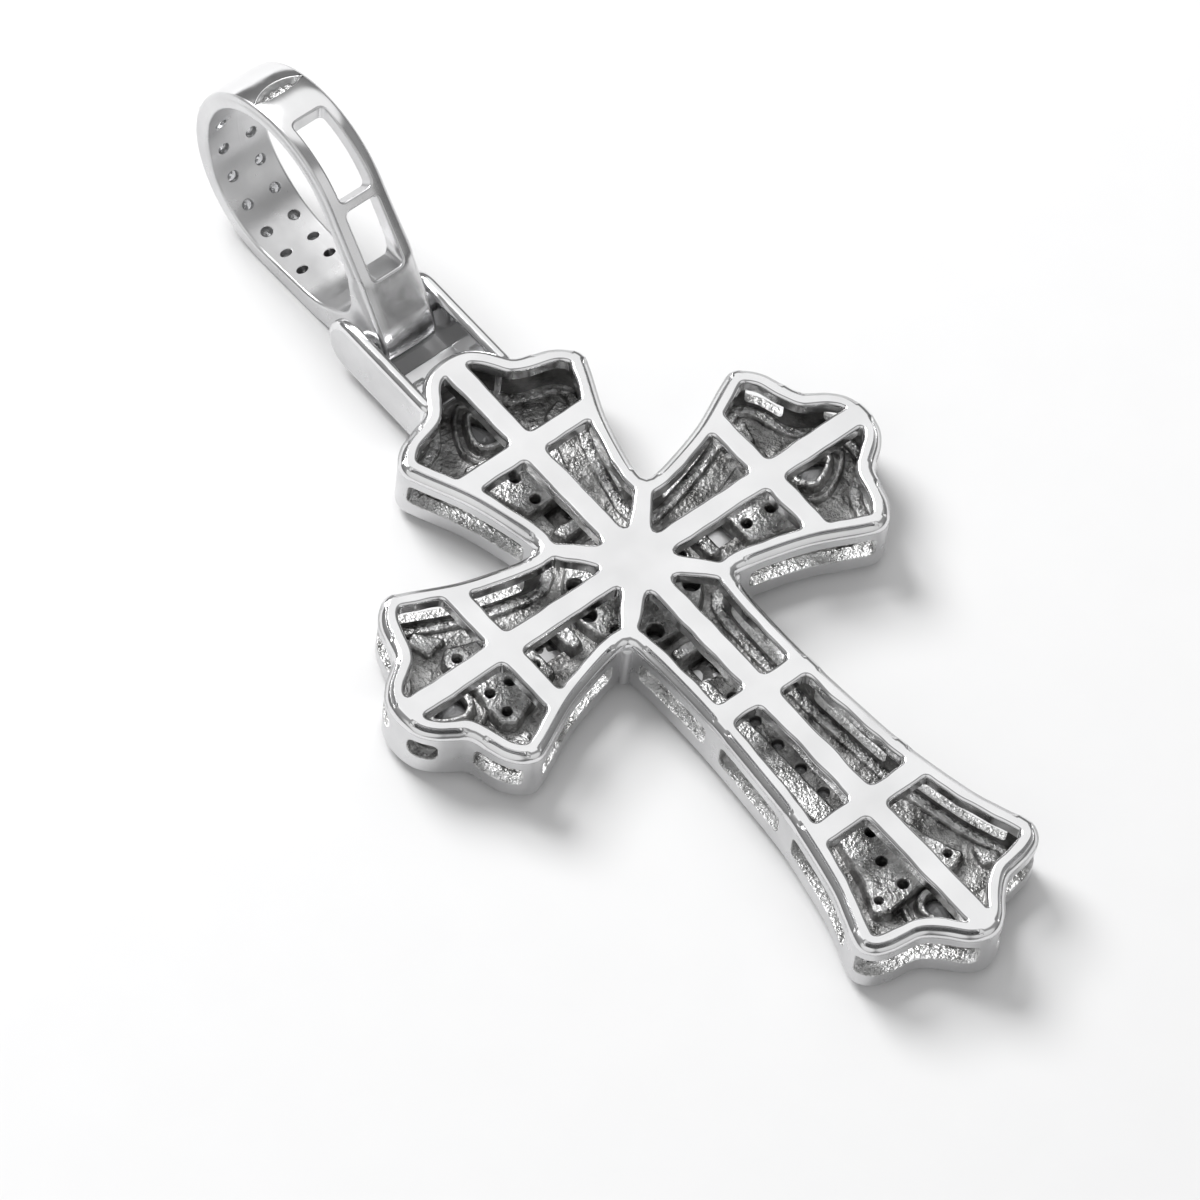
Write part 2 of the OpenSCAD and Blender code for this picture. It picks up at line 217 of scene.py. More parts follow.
def insideOf(places, points):
    x, y = np.array(places)[:, 0:1], np.array(places)[:, 1:2]
    p = np.array(points)
    q = np.roll(p, -1, 0)
    across = (p[:, 1] > y) != (q[:, 1] > y)
    rise = np.where(np.abs(q[:, 1] - p[:, 1]) < 1e-12, 1e-12, q[:, 1] - p[:, 1])
    return np.sum(across & (x < p[:, 0] + (y - p[:, 1]) * (q[:, 0] - p[:, 0]) / rise), axis=1) % 2 == 1


def circle(x, y, radius, count=16):
    return [(x + radius * math.cos(2 * math.pi * k / count), y + radius * math.sin(2 * math.pi * k / count))
            for k in range(count)]


def rectangle(left, right, low, high):
    return [(left, low), (right, low), (right, high), (left, high)]


def pearWay(t, stretch):
    # one place of a drop shape: round end to the crossing, point to the tip of the arm
    along, across = math.cos(t), math.sin(t)
    if along > 0:
        across *= max(0, 1 - along) ** 0.35
        along *= stretch
    return along, across


def pearLine(arm, start, radius, length, count=20):
    ways = [pearWay(2 * math.pi * k / count, length / radius) for k in range(count)]
    return [armPoint(arm, start + along * radius, across * radius) for along, across in ways]


# Shapes: vertices, faces, a smooth direction for each vertex and a metal for each face
# The last two metals are darker copies of the cast metal: painted shade inside the hollow
onPolished, onSatinShade, onCast, onInsideShade, onFloorShade = range(5)
flatFace = Vector((0, 0, 0))
tiltReach = 0.12    # how far to each side the surface's lean is measured


def newShape():
    return {"verts": [], "faces": [], "normals": [], "slots": []}


def addVertex(shape, place, u, v, d, tilt):
    shape["verts"].append(place(u, v, d))
    if tilt is None:
        shape["normals"].append(flatFace.copy())
    else:
        h = tiltReach
        along = (place(u + h, v, d) - place(u - h, v, d)).normalized()
        across = (place(u, v + h, d) - place(u, v - h, d)).normalized()
        out = along.cross(across)
        shape["normals"].append((along * tilt[0] + across * tilt[1] + out * tilt[2]).normalized())
    return len(shape["verts"]) - 1


def roundEdge(edge, depth, backEdge=0.05, bends=3):
    # rows of (how far into the metal, depth, lean of the surface)
    rows = []
    for k in range(bends + 1):
        lean = quarter * k / bends
        rows.append((edge * (1 - math.sin(lean)), edge * (1 - math.cos(lean)), lean))
    backBends = 1 if backEdge < 0.1 else bends
    for k in range(backBends + 1):
        lean = quarter * (1 + k / backBends)
        rows.append((backEdge * (1 - math.sin(lean)), depth - backEdge * (1 + math.cos(lean)), lean))
    return rows


def bandAlong(shape, place, points, rows, closed, slot, smooth=True):
    # the rounded edge and the side wall that follow one line, with the metal on its left
    moves = inwardMoves(points, closed)
    rings, flats = [], []
    for into, depth, lean in rows:
        ring = []
        for p, m in zip(points, moves):
            size = math.hypot(*m)
            tilt = (-m[0] / size * math.sin(lean), -m[1] / size * math.sin(lean), math.cos(lean))
            u, v = p[0] + m[0] * into, p[1] + m[1] * into
            ring.append(addVertex(shape, place, u, v, depth, tilt if smooth else None))
            if not rings:
                flats.append((u, v))
        rings.append(ring)
    count = len(points) if closed else len(points) - 1
    for a, b in zip(rings, rings[1:]):
        for i in range(count):
            j = (i + 1) % len(points)
            shape["faces"].append((a[i], b[i], b[j], a[j]))
            shape["slots"].append(slot)
    return flats, rings[0], rings[-1]


def sheetLines(outer, holes, rows, holeRows, seam, slots):
    # every line of a sheet as (points, rows of its edge, closed, metal of its sides)
    if seam:
        lines = [(points, own, False, slots[1]) for points, own in outer]
    else:
        lines = [(turned(outer, True), rows, True, slots[1])]
    for hole in holes:
        line, own = hole if isinstance(hole, tuple) and isinstance(hole[0], list) else (hole, holeRows)
        lines.append((turned(line, False), own, True, slots[3] if len(slots) > 3 else slots[1]))
    return lines


def addLine(sheet, points, rows, closed, slot):
    flats, top, bottom = bandAlong(sheet["shape"], sheet["place"], points, rows, closed, slot,
                                   sheet["smooth"])
    first, n = len(sheet["flat"]), len(flats)
    sheet["flat"] += flats
    sheet["front"] += top
    sheet["rear"] += bottom
    sheet["edges"] += [(first + i, first + (i + 1) % n) for i in range(n if closed else n - 1)]
    return flats


def addInner(sheet, u, v):
    # a place away from the lines, with its vertices on the front and on the back
    front, rear = ((0, 0, 1), (0, 0, -1)) if sheet["smooth"] else (None, None)
    shape, place = sheet["shape"], sheet["place"]
    sheet["flat"].append((u, v))
    sheet["front"].append(addVertex(shape, place, u, v, 0, front))
    sheet["rear"].append(addVertex(shape, place, u, v, sheet["depth"], rear) if sheet["back"] else 0)


def joinEnds(sheet, first, second, parts=8):
    # both ends of a wrapped sheet get the same places between its two long sides
    for low, high in ((first - 1, first), (first + second - 1, 0)):
        chain = [low]
        (u0, v0), (u1, v1) = sheet["flat"][low], sheet["flat"][high]
        for k in range(1, parts):
            chain.append(len(sheet["flat"]))
            addInner(sheet, u0 + (u1 - u0) * (k / parts), v0 + (v1 - v0) * (k / parts))
        sheet["edges"] += list(zip(chain, chain[1:] + [high]))


def withinSheet(places, limit, openings):
    keep = insideOf(places, limit)
    for loop in openings:
        keep &= ~insideOf(places, loop)
    return keep


def spreadPlaces(sheet, limit, openings, spacing, clear=0.62):
    # staggered places all over the sheet, clear of its lines
    tree = KDTree(len(sheet["flat"]))
    for i, (u, v) in enumerate(sheet["flat"]):
        tree.insert((u, v, 0), i)
    tree.balance()
    low, high = np.min(np.array(limit), 0), np.max(np.array(limit), 0)
    grid = []
    for j in range(int((high[1] - low[1]) / spacing) + 2):
        for i in range(int((high[0] - low[0]) / spacing) + 2):
            u, v = low[0] + (i + 0.5 * (j % 2)) * spacing, low[1] + j * spacing
            if tree.find((u, v, 0))[2] > clear * spacing:
                grid.append((u, v))
    if grid:
        for (u, v), kept in zip(grid, withinSheet(grid, limit, openings)):
            if kept:
                addInner(sheet, u, v)


def coverSheet(sheet, limit, openings, slots):
    # triangles between all the places, on the front and on the back
    shape, front, rear = sheet["shape"], sheet["front"], sheet["rear"]
    made, _, faces, was = delaunay_2d_cdt([Vector(p) for p in sheet["flat"]], sheet["edges"], [], 0, 1e-7)[:4]
    centres = np.array([[sum(made[i][k] for i in f) / 3 for k in (0, 1)] for f in faces])
    ids = [w[0] if w else -1 for w in was]
    for f, kept in zip(faces, withinSheet(centres, limit, openings)):
        t = [ids[i] for i in f]
        if not kept or -1 in t:
            continue
        a, b, c = (made[i] for i in f)
        if (b.x - a.x) * (c.y - a.y) - (b.y - a.y) * (c.x - a.x) < 0:
            t.reverse()
        shape["faces"].append(tuple(front[i] for i in t))
        shape["slots"].append(slots[0])
        if sheet["back"]:
            shape["faces"].append(tuple(rear[i] for i in reversed(t)))
            shape["slots"].append(slots[2])


def pierced(shape, place, outer, holes, rows, holeRows, spacing=0, seam=False, slots=(0, 0, 0), rough=0,
            back=True, smooth=True):
    # a sheet with rounded edges and openings; slots: metal of the face, sides, back and sides of openings
    sheet = {"shape": shape, "place": place, "depth": rows[-1][1], "back": back, "smooth": smooth,
             "flat": [], "front": [], "rear": [], "edges": []}
    loops = [addLine(sheet, *line) for line in sheetLines(outer, holes, rows, holeRows, seam, slots)]
    limit, openings = (loops[0] + loops[1], loops[2:]) if seam else (loops[0], loops[1:])
    if seam:
        joinEnds(sheet, len(loops[0]), len(loops[1]))
    if spacing:
        spreadPlaces(sheet, limit, openings, spacing)
    coverSheet(sheet, limit, openings, slots)
    if rough:
        for (u, v), i in zip(sheet["flat"], sheet["front"]):
            shape["verts"][i] = place(u, v, -rough * castNoise(shape["verts"][i]))


# Relief of the rough casting, as (share, pitch, shift) of each size of lump
castLumps = [(1, 1.3, Vector((0, 0, 0))), (0.7, 3.7, Vector((5, 0, 0))), (0.4, 8, Vector((0, 7, 0)))]


def castNoise(p):
    return sum(share * noise.noise(p * pitch + shift) for share, pitch, shift in castLumps)


def makePiece(name, shape, materials, body, move, replaces=(), smooth=True):
    mesh = bpy.data.meshes.new(name)
    mesh.from_pydata([tuple((move @ v) * mm) for v in shape["verts"]], [], shape["faces"])
    for m in materials:
        mesh.materials.append(m)
    mesh.polygons.foreach_set("material_index", shape["slots"])
    mesh.polygons.foreach_set("use_smooth", [smooth] * len(shape["faces"]))
    turn = move.to_3x3()
    if any(n.length > 0.1 for n in shape["normals"]):
        mesh.normals_split_custom_set_from_vertices([tuple(turn @ n) for n in shape["normals"]])
    mesh.update()
    piece = bpy.data.objects.new(name, mesh)
    scene.collection.objects.link(piece)
    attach(piece, body)
    if replaces:
        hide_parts(*replaces)
    return piece


onCross = Matrix.Translation(crossing)


# Materials, all worked out from the object's own coordinates

def newMaterial(name):
    material = bpy.data.materials.new(name)
    material.use_nodes = True
    nodes, links = material.node_tree.nodes, material.node_tree.links
    return material, nodes, links, nodes["Principled BSDF"]


def textureAt(nodes, links, kind, scale, detail=2.0, stretch=None, turn=0):
    coords = nodes.get("Where") or nodes.new("ShaderNodeTexCoord")
    coords.name = "Where"
    node = nodes.new(kind)
    node.inputs["Scale"].default_value = scale
    if "Detail" in node.inputs:
        node.inputs["Detail"].default_value = detail
    source = coords.outputs["Object"]
    if stretch:
        mapping = nodes.new("ShaderNodeMapping")
        mapping.inputs["Scale"].default_value = stretch
        mapping.inputs["Rotation"].default_value = (0, 0, turn)
        links.new(source, mapping.inputs["Vector"])
        source = mapping.outputs["Vector"]
    links.new(source, node.inputs["Vector"])
    return node


def ranged(nodes, links, source, low, high, fromLow=0.0, fromHigh=1.0):
    node = nodes.new("ShaderNodeMapRange")
    node.inputs["From Min"].default_value = fromLow
    node.inputs["From Max"].default_value = fromHigh
    node.inputs["To Min"].default_value = low
    node.inputs["To Max"].default_value = high
    links.new(source, node.inputs["Value"])
    return node.outputs["Result"]


def shaded(nodes, links, source, dark, light, low=0.3, high=0.7):
    ramp = nodes.new("ShaderNodeValToRGB")
    ramp.color_ramp.elements[0].position = low
    ramp.color_ramp.elements[1].position = high
    ramp.color_ramp.elements[0].color = (*dark, 1)
    ramp.color_ramp.elements[1].color = (*light, 1)
    links.new(source, ramp.inputs["Fac"])
    return ramp.outputs["Color"]


def bumped(nodes, links, height, distance, strength, before=None):
    bump = nodes.new("ShaderNodeBump")
    bump.inputs["Distance"].default_value = distance
    bump.inputs["Strength"].default_value = strength
    links.new(height, bump.inputs["Height"])
    if before:
        links.new(before, bump.inputs["Normal"])
    return bump.outputs["Normal"]


polishedLook = {
    "dark": (0.72, 0.72, 0.725), "light": (0.82, 0.82, 0.825), "roughness": (0.1, 0.2),
    "waves": 0.11, "scratches": 0.05, "pits": 0.25,
    "cloudScale": 260, "rubScale": 900, "waveScale": 420, "scratchScale": 3000, "pitScale": 1300,
    # in metres
    "waveDepth": 0.0002, "scratchDepth": 0.00002, "pitDepth": 0.00003,
}


def polishedMetal(name, look):
    material, nodes, links, shader = newMaterial(name)
    shader.inputs["Metallic"].default_value = 1
    cloud = textureAt(nodes, links, "ShaderNodeTexNoise", look["cloudScale"], 4)
    tone = shaded(nodes, links, cloud.outputs["Fac"], look["dark"], look["light"])
    links.new(tone, shader.inputs["Base Color"])
    rub = textureAt(nodes, links, "ShaderNodeTexNoise", look["rubScale"], 5)
    dull = ranged(nodes, links, rub.outputs["Fac"], *look["roughness"], 0.3, 0.7)
    links.new(dull, shader.inputs["Roughness"])
    wave = textureAt(nodes, links, "ShaderNodeTexNoise", look["waveScale"], 1)
    normal = bumped(nodes, links, wave.outputs["Fac"], look["waveDepth"], look["waves"])
    for turn in (0.5, 2.1):
        # long thin streaks, one way and the other
        scratch = textureAt(nodes, links, "ShaderNodeTexNoise", look["scratchScale"], 3, (1, 0.03, 0.03),
                            turn)
        line = ranged(nodes, links, scratch.outputs["Fac"], 0, 1, 0.62, 0.72)
        normal = bumped(nodes, links, line, look["scratchDepth"], look["scratches"], normal)
    pit = textureAt(nodes, links, "ShaderNodeTexVoronoi", look["pitScale"])
    hollow = ranged(nodes, links, pit.outputs["Distance"], 0, 1, 0.04, 0.09)
    normal = bumped(nodes, links, hollow, look["pitDepth"], look["pits"], normal)
    links.new(normal, shader.inputs["Normal"])
    return material


castLook = {
    "dark": (0.42, 0.42, 0.415), "light": (0.86, 0.86, 0.86), "roughness": (0.22, 0.45),
    "lumps": 0.9, "grain": 0.8, "cloudScale": 900, "lumpScale": 3400, "grainScale": 5200,
    "lumpDepth": 0.00016, "grainDepth": 0.00006,
}


def castMetal(name, look):
    material, nodes, links, shader = newMaterial(name)
    shader.inputs["Metallic"].default_value = 1
    cloud = textureAt(nodes, links, "ShaderNodeTexNoise", look["cloudScale"], 6)
    tone = shaded(nodes, links, cloud.outputs["Fac"], look["dark"], look["light"], 0.35, 0.65)
    links.new(tone, shader.inputs["Base Color"])
    dull = ranged(nodes, links, cloud.outputs["Fac"], *look["roughness"], 0.3, 0.7)
    links.new(dull, shader.inputs["Roughness"])
    lump = textureAt(nodes, links, "ShaderNodeTexNoise", look["lumpScale"], 4)
    normal = bumped(nodes, links, lump.outputs["Fac"], look["lumpDepth"], look["lumps"])
    grain = textureAt(nodes, links, "ShaderNodeTexVoronoi", look["grainScale"])
    normal = bumped(nodes, links, grain.outputs["Distance"], look["grainDepth"], look["grain"], normal)
    links.new(normal, shader.inputs["Normal"])
    return material


stoneLook = {
    "color": (0.98, 0.985, 1.0), "dust": (0.92, 0.93, 0.95), "dustScale": 2500,
    "ior": 2.1, "clearness": 0.75, "gloss": 0.8, "roughness": (0.0, 0.03),
}


def clearStone(name, look):
    material, nodes, links, shader = newMaterial(name)
    shader.inputs["IOR"].default_value = look["ior"]
    shader.inputs["Transmission Weight"].default_value = look["clearness"]
    shader.inputs["Specular IOR Level"].default_value = look["gloss"]
    dust = textureAt(nodes, links, "ShaderNodeTexNoise", look["dustScale"], 3)
    links.new(ranged(nodes, links, dust.outputs["Fac"], *look["roughness"]), shader.inputs["Roughness"])
    tone = shaded(nodes, links, dust.outputs["Fac"], look["dust"], look["color"])
    links.new(tone, shader.inputs["Base Color"])
    return material


# Satin finish: the higher roughness is real; the base colour, darker than the polished metal's, is painted
# shade standing in for dim reflections on the side walls and other satin faces
satinShadeLook = {**polishedLook, "dark": (0.6, 0.6, 0.605), "light": (0.73, 0.73, 0.735),
             "roughness": (0.26, 0.38), "waves": 0.12, "scratches": 0.12, "pits": 0.4}
# Painted shade: a much darker copy of the cast metal, on the hollow's inner walls, the frame's underside, the
# pocket bottoms and the sides of holes, where shade falls
insideShadeLook = {**castLook, "dark": (0.10, 0.098, 0.096), "light": (0.30, 0.298, 0.295),
              "roughness": (0.3, 0.5), "lumps": 0.35, "grain": 0.3}
# Painted shade: a darker copy of the cast metal, on the hollow's floor, the ridges and the sides of the raised
# blocks, collars and ledge
floorShadeLook = {**castLook, "dark": (0.16, 0.158, 0.155), "light": (0.55, 0.548, 0.545),
                 "roughness": (0.25, 0.5), "lumps": 0.8, "grain": 0.6}
polished = polishedMetal("polished_white_gold", polishedLook)
satin = polishedMetal("satin_white_gold_painted_shade", satinShadeLook)
cast = castMetal("rough_cast_white_gold", castLook)
inside = castMetal("cast_wall_painted_shade", insideShadeLook)
floorShadeMetal = castMetal("cast_floor_painted_shade", floorShadeLook)
stoneGlass = clearStone("clear_stone", stoneLook)
metals = [polished, satin, cast, inside, floorShadeMetal]    # in the order of onPolished to onFloorShade
report("materials made")


# Outline of the cross, as (distance from the crossing, half width) down one side of an arm
crossOutline = {
    "short": [(3.35, 3.35), (5, 3.65), (7.6, 4.4), (10.1, 5.55), (11, 5.82), (11.75, 5.45), (12.3, 4.75),
              (12.6, 3.9), (12.9, 2.95), (13.45, 2.5), (14.2, 1.95), (14.8, 1.15), (15, 0)],
    "foot": [(3.35, 3.35), (5.5, 3.2), (9, 3.2), (13, 3.45), (16, 3.75), (19.6, 4.5), (21.2, 5.05),
             (22.4, 5.5), (23.2, 5.62), (23.85, 5.2), (24.2, 4.4), (24.35, 3.5), (24.5, 2.75), (25.15, 1.95),
             (26.1, 1.05), (26.5, 0)],
    "cornerRadius": 0.4, "spacing": 0.2, "steps": 8,
}


def crossLine(look):
    points = []
    for arm in range(4):
        side = look["foot" if arm == footArm else "short"]
        points += [armPoint(arm, a, w) for a, w in curveThrough(bothSides(side), look["steps"])]
    return evenly(softened(points, look["cornerRadius"]), look["spacing"])


outline = crossLine(crossOutline)
outlineMoves = inwardMoves(outline)
outlineLengths = lengthsAlong(outline)
outlineTree = KDTree(len(outline))
for index, spot in enumerate(outline):
    outlineTree.insert((*spot, 0), index)
outlineTree.balance()


def runNear(arm, along, across):
    # how far along the outline a place is
    x, y = armPoint(arm, along, across)
    return float(outlineLengths[outlineTree.find((x, y, 0))[1]])


# Back frame: rim, spines, crossbars and braces, with the windows between them
backFrame = {
    "rimWidth": 0.95, "spineHalf": 0.66, "rimRound": 0.46, "windowRound": 0.2, "rimDepth": 0.5,
    "barDepth": 0.8, "windowCorner": 0.3, "wavy": 0.07, "innerCorner": 2.9, "windowStart": 3.45,
    "braceStart": (1.57, 0.66), "braceEnd": (3.19, 2.5),
    "shortBars": [(7.745, 8.995)], "footBars": [(8.775, 10.025), (16.675, 17.925)],
}


def rimInside(look, arm, side):
    # inner edge of the rim along one side of an arm, from the corner to the tip
    line = inset(outline, look["rimWidth"])
    turn = armWays[arm]
    found = []
    for x, y in line:
        a, w = x * turn[0] + y * turn[1], -x * turn[1] + y * turn[0]
        if a > look["innerCorner"] and side * w > 0 and a > abs(w) + 0.3:
            found.append((a, side * w))
    # the outline's list may start in the middle of this run
    start = [i for i in range(len(found)) if math.dist(found[i - 1], found[i]) > 1][0]
    found = found[start:] + found[:start]
    return found if found[0][0] < found[-1][0] else found[::-1]


def windowLines(look):
    loops = []
    step = 0.05
    for arm in range(4):
        bars = look["footBars" if arm == footArm else "shortBars"]
        starts = [None] + [b[1] for b in bars]
        ends = [b[0] for b in bars] + [None]
        for side in (-1, 1):
            rim = rimInside(look, arm, side)
            lengths = lengthsAlong(rim, False)
            fine = [pointAt(rim, lengths, k * step, False) for k in range(int(lengths[-1] / step))]
            for start, end in zip(starts, ends):
                first, last = start or look["windowStart"], end or math.inf
                part = [p for p in fine if p[1] > look["spineHalf"] and first < p[0] < last]
                low = [(start, look["spineHalf"])] if start else [look["braceStart"]]
                high = [(end or part[-1][0], look["spineHalf"])] + ([(end, part[-1][1])] if end else [])
                shut = [(start, part[0][1])] if start else [look["braceEnd"]]
                points = low + high + part[::-1][::4] + shut
                points = filled(softened(points, look["windowCorner"], 0.4), 0.4)
                line = [Vector((*armPoint(arm, a, side * w), 0)) for a, w in points]
                wavy = look["wavy"]
                loops.append([(p.x + wavy * noise.noise(p * 0.9), p.y + wavy * noise.noise(p.zyx))
                              for p in line])
    return loops


def flatUp(height):
    return lambda u, v, d: Vector((u, v, height - d))


def flatDown(height):
    return lambda u, v, d: Vector((u, -v, height + d))


def mirrored(points):
    return [(x, -y) for x, y in points]


windows = windowLines(backFrame)
body = newShape()
rimRows = roundEdge(backFrame["rimRound"], backFrame["rimDepth"], 0.01, 9)
pierced(body, flatUp(backHeight), outline, windows, rimRows,
        roundEdge(backFrame["windowRound"], backFrame["barDepth"], 0.06),
        slots=(onPolished, onPolished, onInsideShade))

# Thin step with a dark seam, in place of the rim's rounding along these runs
rimStep = {
    # (distance, half width) of each run's start and end
    "short": [((4.0, 3.45), (10.85, 5.82)), ((11.35, 5.72), (12.72, 3.5))],
    "tip": [((14.97, 0.45), (12.98, 2.85))],
    "foot": [((4, 3.3), (9.4, 3.2)), ((10, 3.25), (15.6, 3.7)), ((16, 3.75), (22.4, 5.5))],
    "footEnd": [((22.95, 5.62), (26.42, 0.5))],
    "endLength": 0.5,
    # the seam is this much wider at the arms' ends
    "seamGain": 0.1, "seamRows": (3, 4, 5),
    # (into the metal, drop, lean in degrees), row by row with the rounding's own
    "rows": [(0.44, 0, 0), (0.43, 0.02, 90), (0.43, 0.42, 90), (0.37, 0.43, 0), (0.36, 0.26, -90),
             (0.35, 0.24, 30), (0.2, 0.3, 42), (0.07, 0.38, 62), (0.01, 0.44, 84), (0, 0.5, 90)],
}


def runShares(runs, endLength):
    # 1 along the runs and 0 elsewhere, with a soft change at each end
    spans = [sorted(runNear(arm, a, side * w) for a, w in ends) for arm, ends in runs for side in (-1, 1)]
    shares = []
    for r in outlineLengths[:-1]:
        t = min(1, max(0, max(min(r - low, high - r) for low, high in spans) / endLength))
        shares.append(t * t * (3 - 2 * t))
    return shares


def cutStep(shape, look):
    # the rim's outer edge is the first thing in the shape, row after row
    sides = [(arm, ends) for arm in (rightArm, topArm, leftArm) for ends in look["short"]]
    sides += [(footArm, ends) for ends in look["foot"]]
    tips = [(arm, ends) for arm in (rightArm, leftArm) for ends in look["tip"]]
    tips += [(footArm, ends) for ends in look["footEnd"]]
    shares = runShares(sides + tips, look["endLength"])
    wides = runShares(tips, look["endLength"])
    for i, (share, wide) in enumerate(zip(shares, wides)):
        (x, y), (mx, my) = outline[i], outlineMoves[i]
        size = math.hypot(mx, my)
        for row, (into, drop, lean) in enumerate(look["rows"]):
            fullInto, fullDrop, fullLean = rimRows[row]
            if row in look["seamRows"]:
                into -= look["seamGain"] * wide
            into = fullInto + (into - fullInto) * share
            drop = fullDrop + (drop - fullDrop) * share
            lean = fullLean + (math.radians(lean) - fullLean) * share
            spot, out = row * len(outline) + i, math.sin(lean) / size
            shape["verts"][spot] = Vector((x + mx * into, y + my * into, backHeight - drop))
            shape["normals"][spot] = Vector((-mx * out, -my * out, math.cos(lean)))


cutStep(body, rimStep)
report("back frame made")


# Side wall, wrapped round the outline, with its long openings
sideWall = {
    "bottom": 0.47, "thickness": 0.5, "edge": 0.06, "bottomEdge": 0.14, "innerEdge": 0.02, "spacing": 0.3,
    # (bottom, top, radius of the corners) of the long openings and of those beside the tips
    "slot": (1.5, 2.85, 0.36), "tipSlot": (1.7, 2.9, 0.55),
    # (distance, half width) of the start and end of each opening
    "shortSlots": [((4.4, 3.5), (10.63, 5.78)), ((11.75, 5.45), (12.79, 3.2))],
    "tipSlots": [((14.94, 0.63), (14.1, 2.05))],
    "footSlots": [((4.2, 3.25), (9.1, 3.2)), ((10.3, 3.25), (15.1, 3.6)), ((16.3, 3.8), (21.9, 5.3)),
                  ((22.97, 5.63), (26.36, 0.6))],
}


def wallPlace(u, v, d, reach=0.1):
    # u along the outline, v upward, d into the metal
    before, p, after = (Vector(pointAt(outline, outlineLengths, u + step)) for step in (-reach, 0, reach))
    way = (after - before).normalized()
    return Vector((p.x - way.y * d, p.y + way.x * d, v))


def wallOpenings(look):
    openings = []
    for arm in range(4):
        slots = [(ends, *look["slot"]) for ends in look["footSlots" if arm == footArm else "shortSlots"]]
        if arm == topArm:
            # its lobes are closed, because the ears stand there
            slots = slots[:1]
        elif arm != footArm:
            slots += [(ends, *look["tipSlot"]) for ends in look["tipSlots"]]
        for side in (-1, 1):
            for ends, low, high, corner in slots:
                first, last = sorted(runNear(arm, a, side * w) for a, w in ends)
                line = softened(rectangle(first, last, low, high), corner, parts=6)
                openings.append(filled(line, look["spacing"]))
    return openings


def makeWall(shape, look):
    top = backHeight - backFrame["rimDepth"]
    runs = [float(r) for r in outlineLengths]
    thick = look["thickness"]
    rows = roundEdge(look["edge"], thick, look["innerEdge"], 2)
    lower = roundEdge(look["bottomEdge"], thick, look["innerEdge"], 3)
    chains = [([(r, look["bottom"]) for r in runs], lower),
              ([(r, top) for r in reversed(runs)], [(0, 0, 0), (0, thick, math.pi)])]
    pierced(shape, wallPlace, chains, wallOpenings(look), rows, rows, spacing=look["spacing"], seam=True,
            slots=(onSatinShade, onSatinShade, onInsideShade, onCast))


makeWall(body, sideWall)

# Round rib in each inner corner of the cross
ribLook = {"at": 3.4, "radius": 0.36, "top": 3.37, "bottom": 0.52, "edge": 0.1}


def makeRibs(shape, look):
    rows = roundEdge(look["edge"], look["top"] - look["bottom"], look["edge"])
    for x in (-1, 1):
        for y in (-1, 1):
            line = circle(x * look["at"], y * look["at"], look["radius"])
            pierced(shape, flatUp(look["top"]), line, [], rows, [], slots=(onSatinShade, onSatinShade, onSatinShade))


makeRibs(body, ribLook)
report("side wall made")


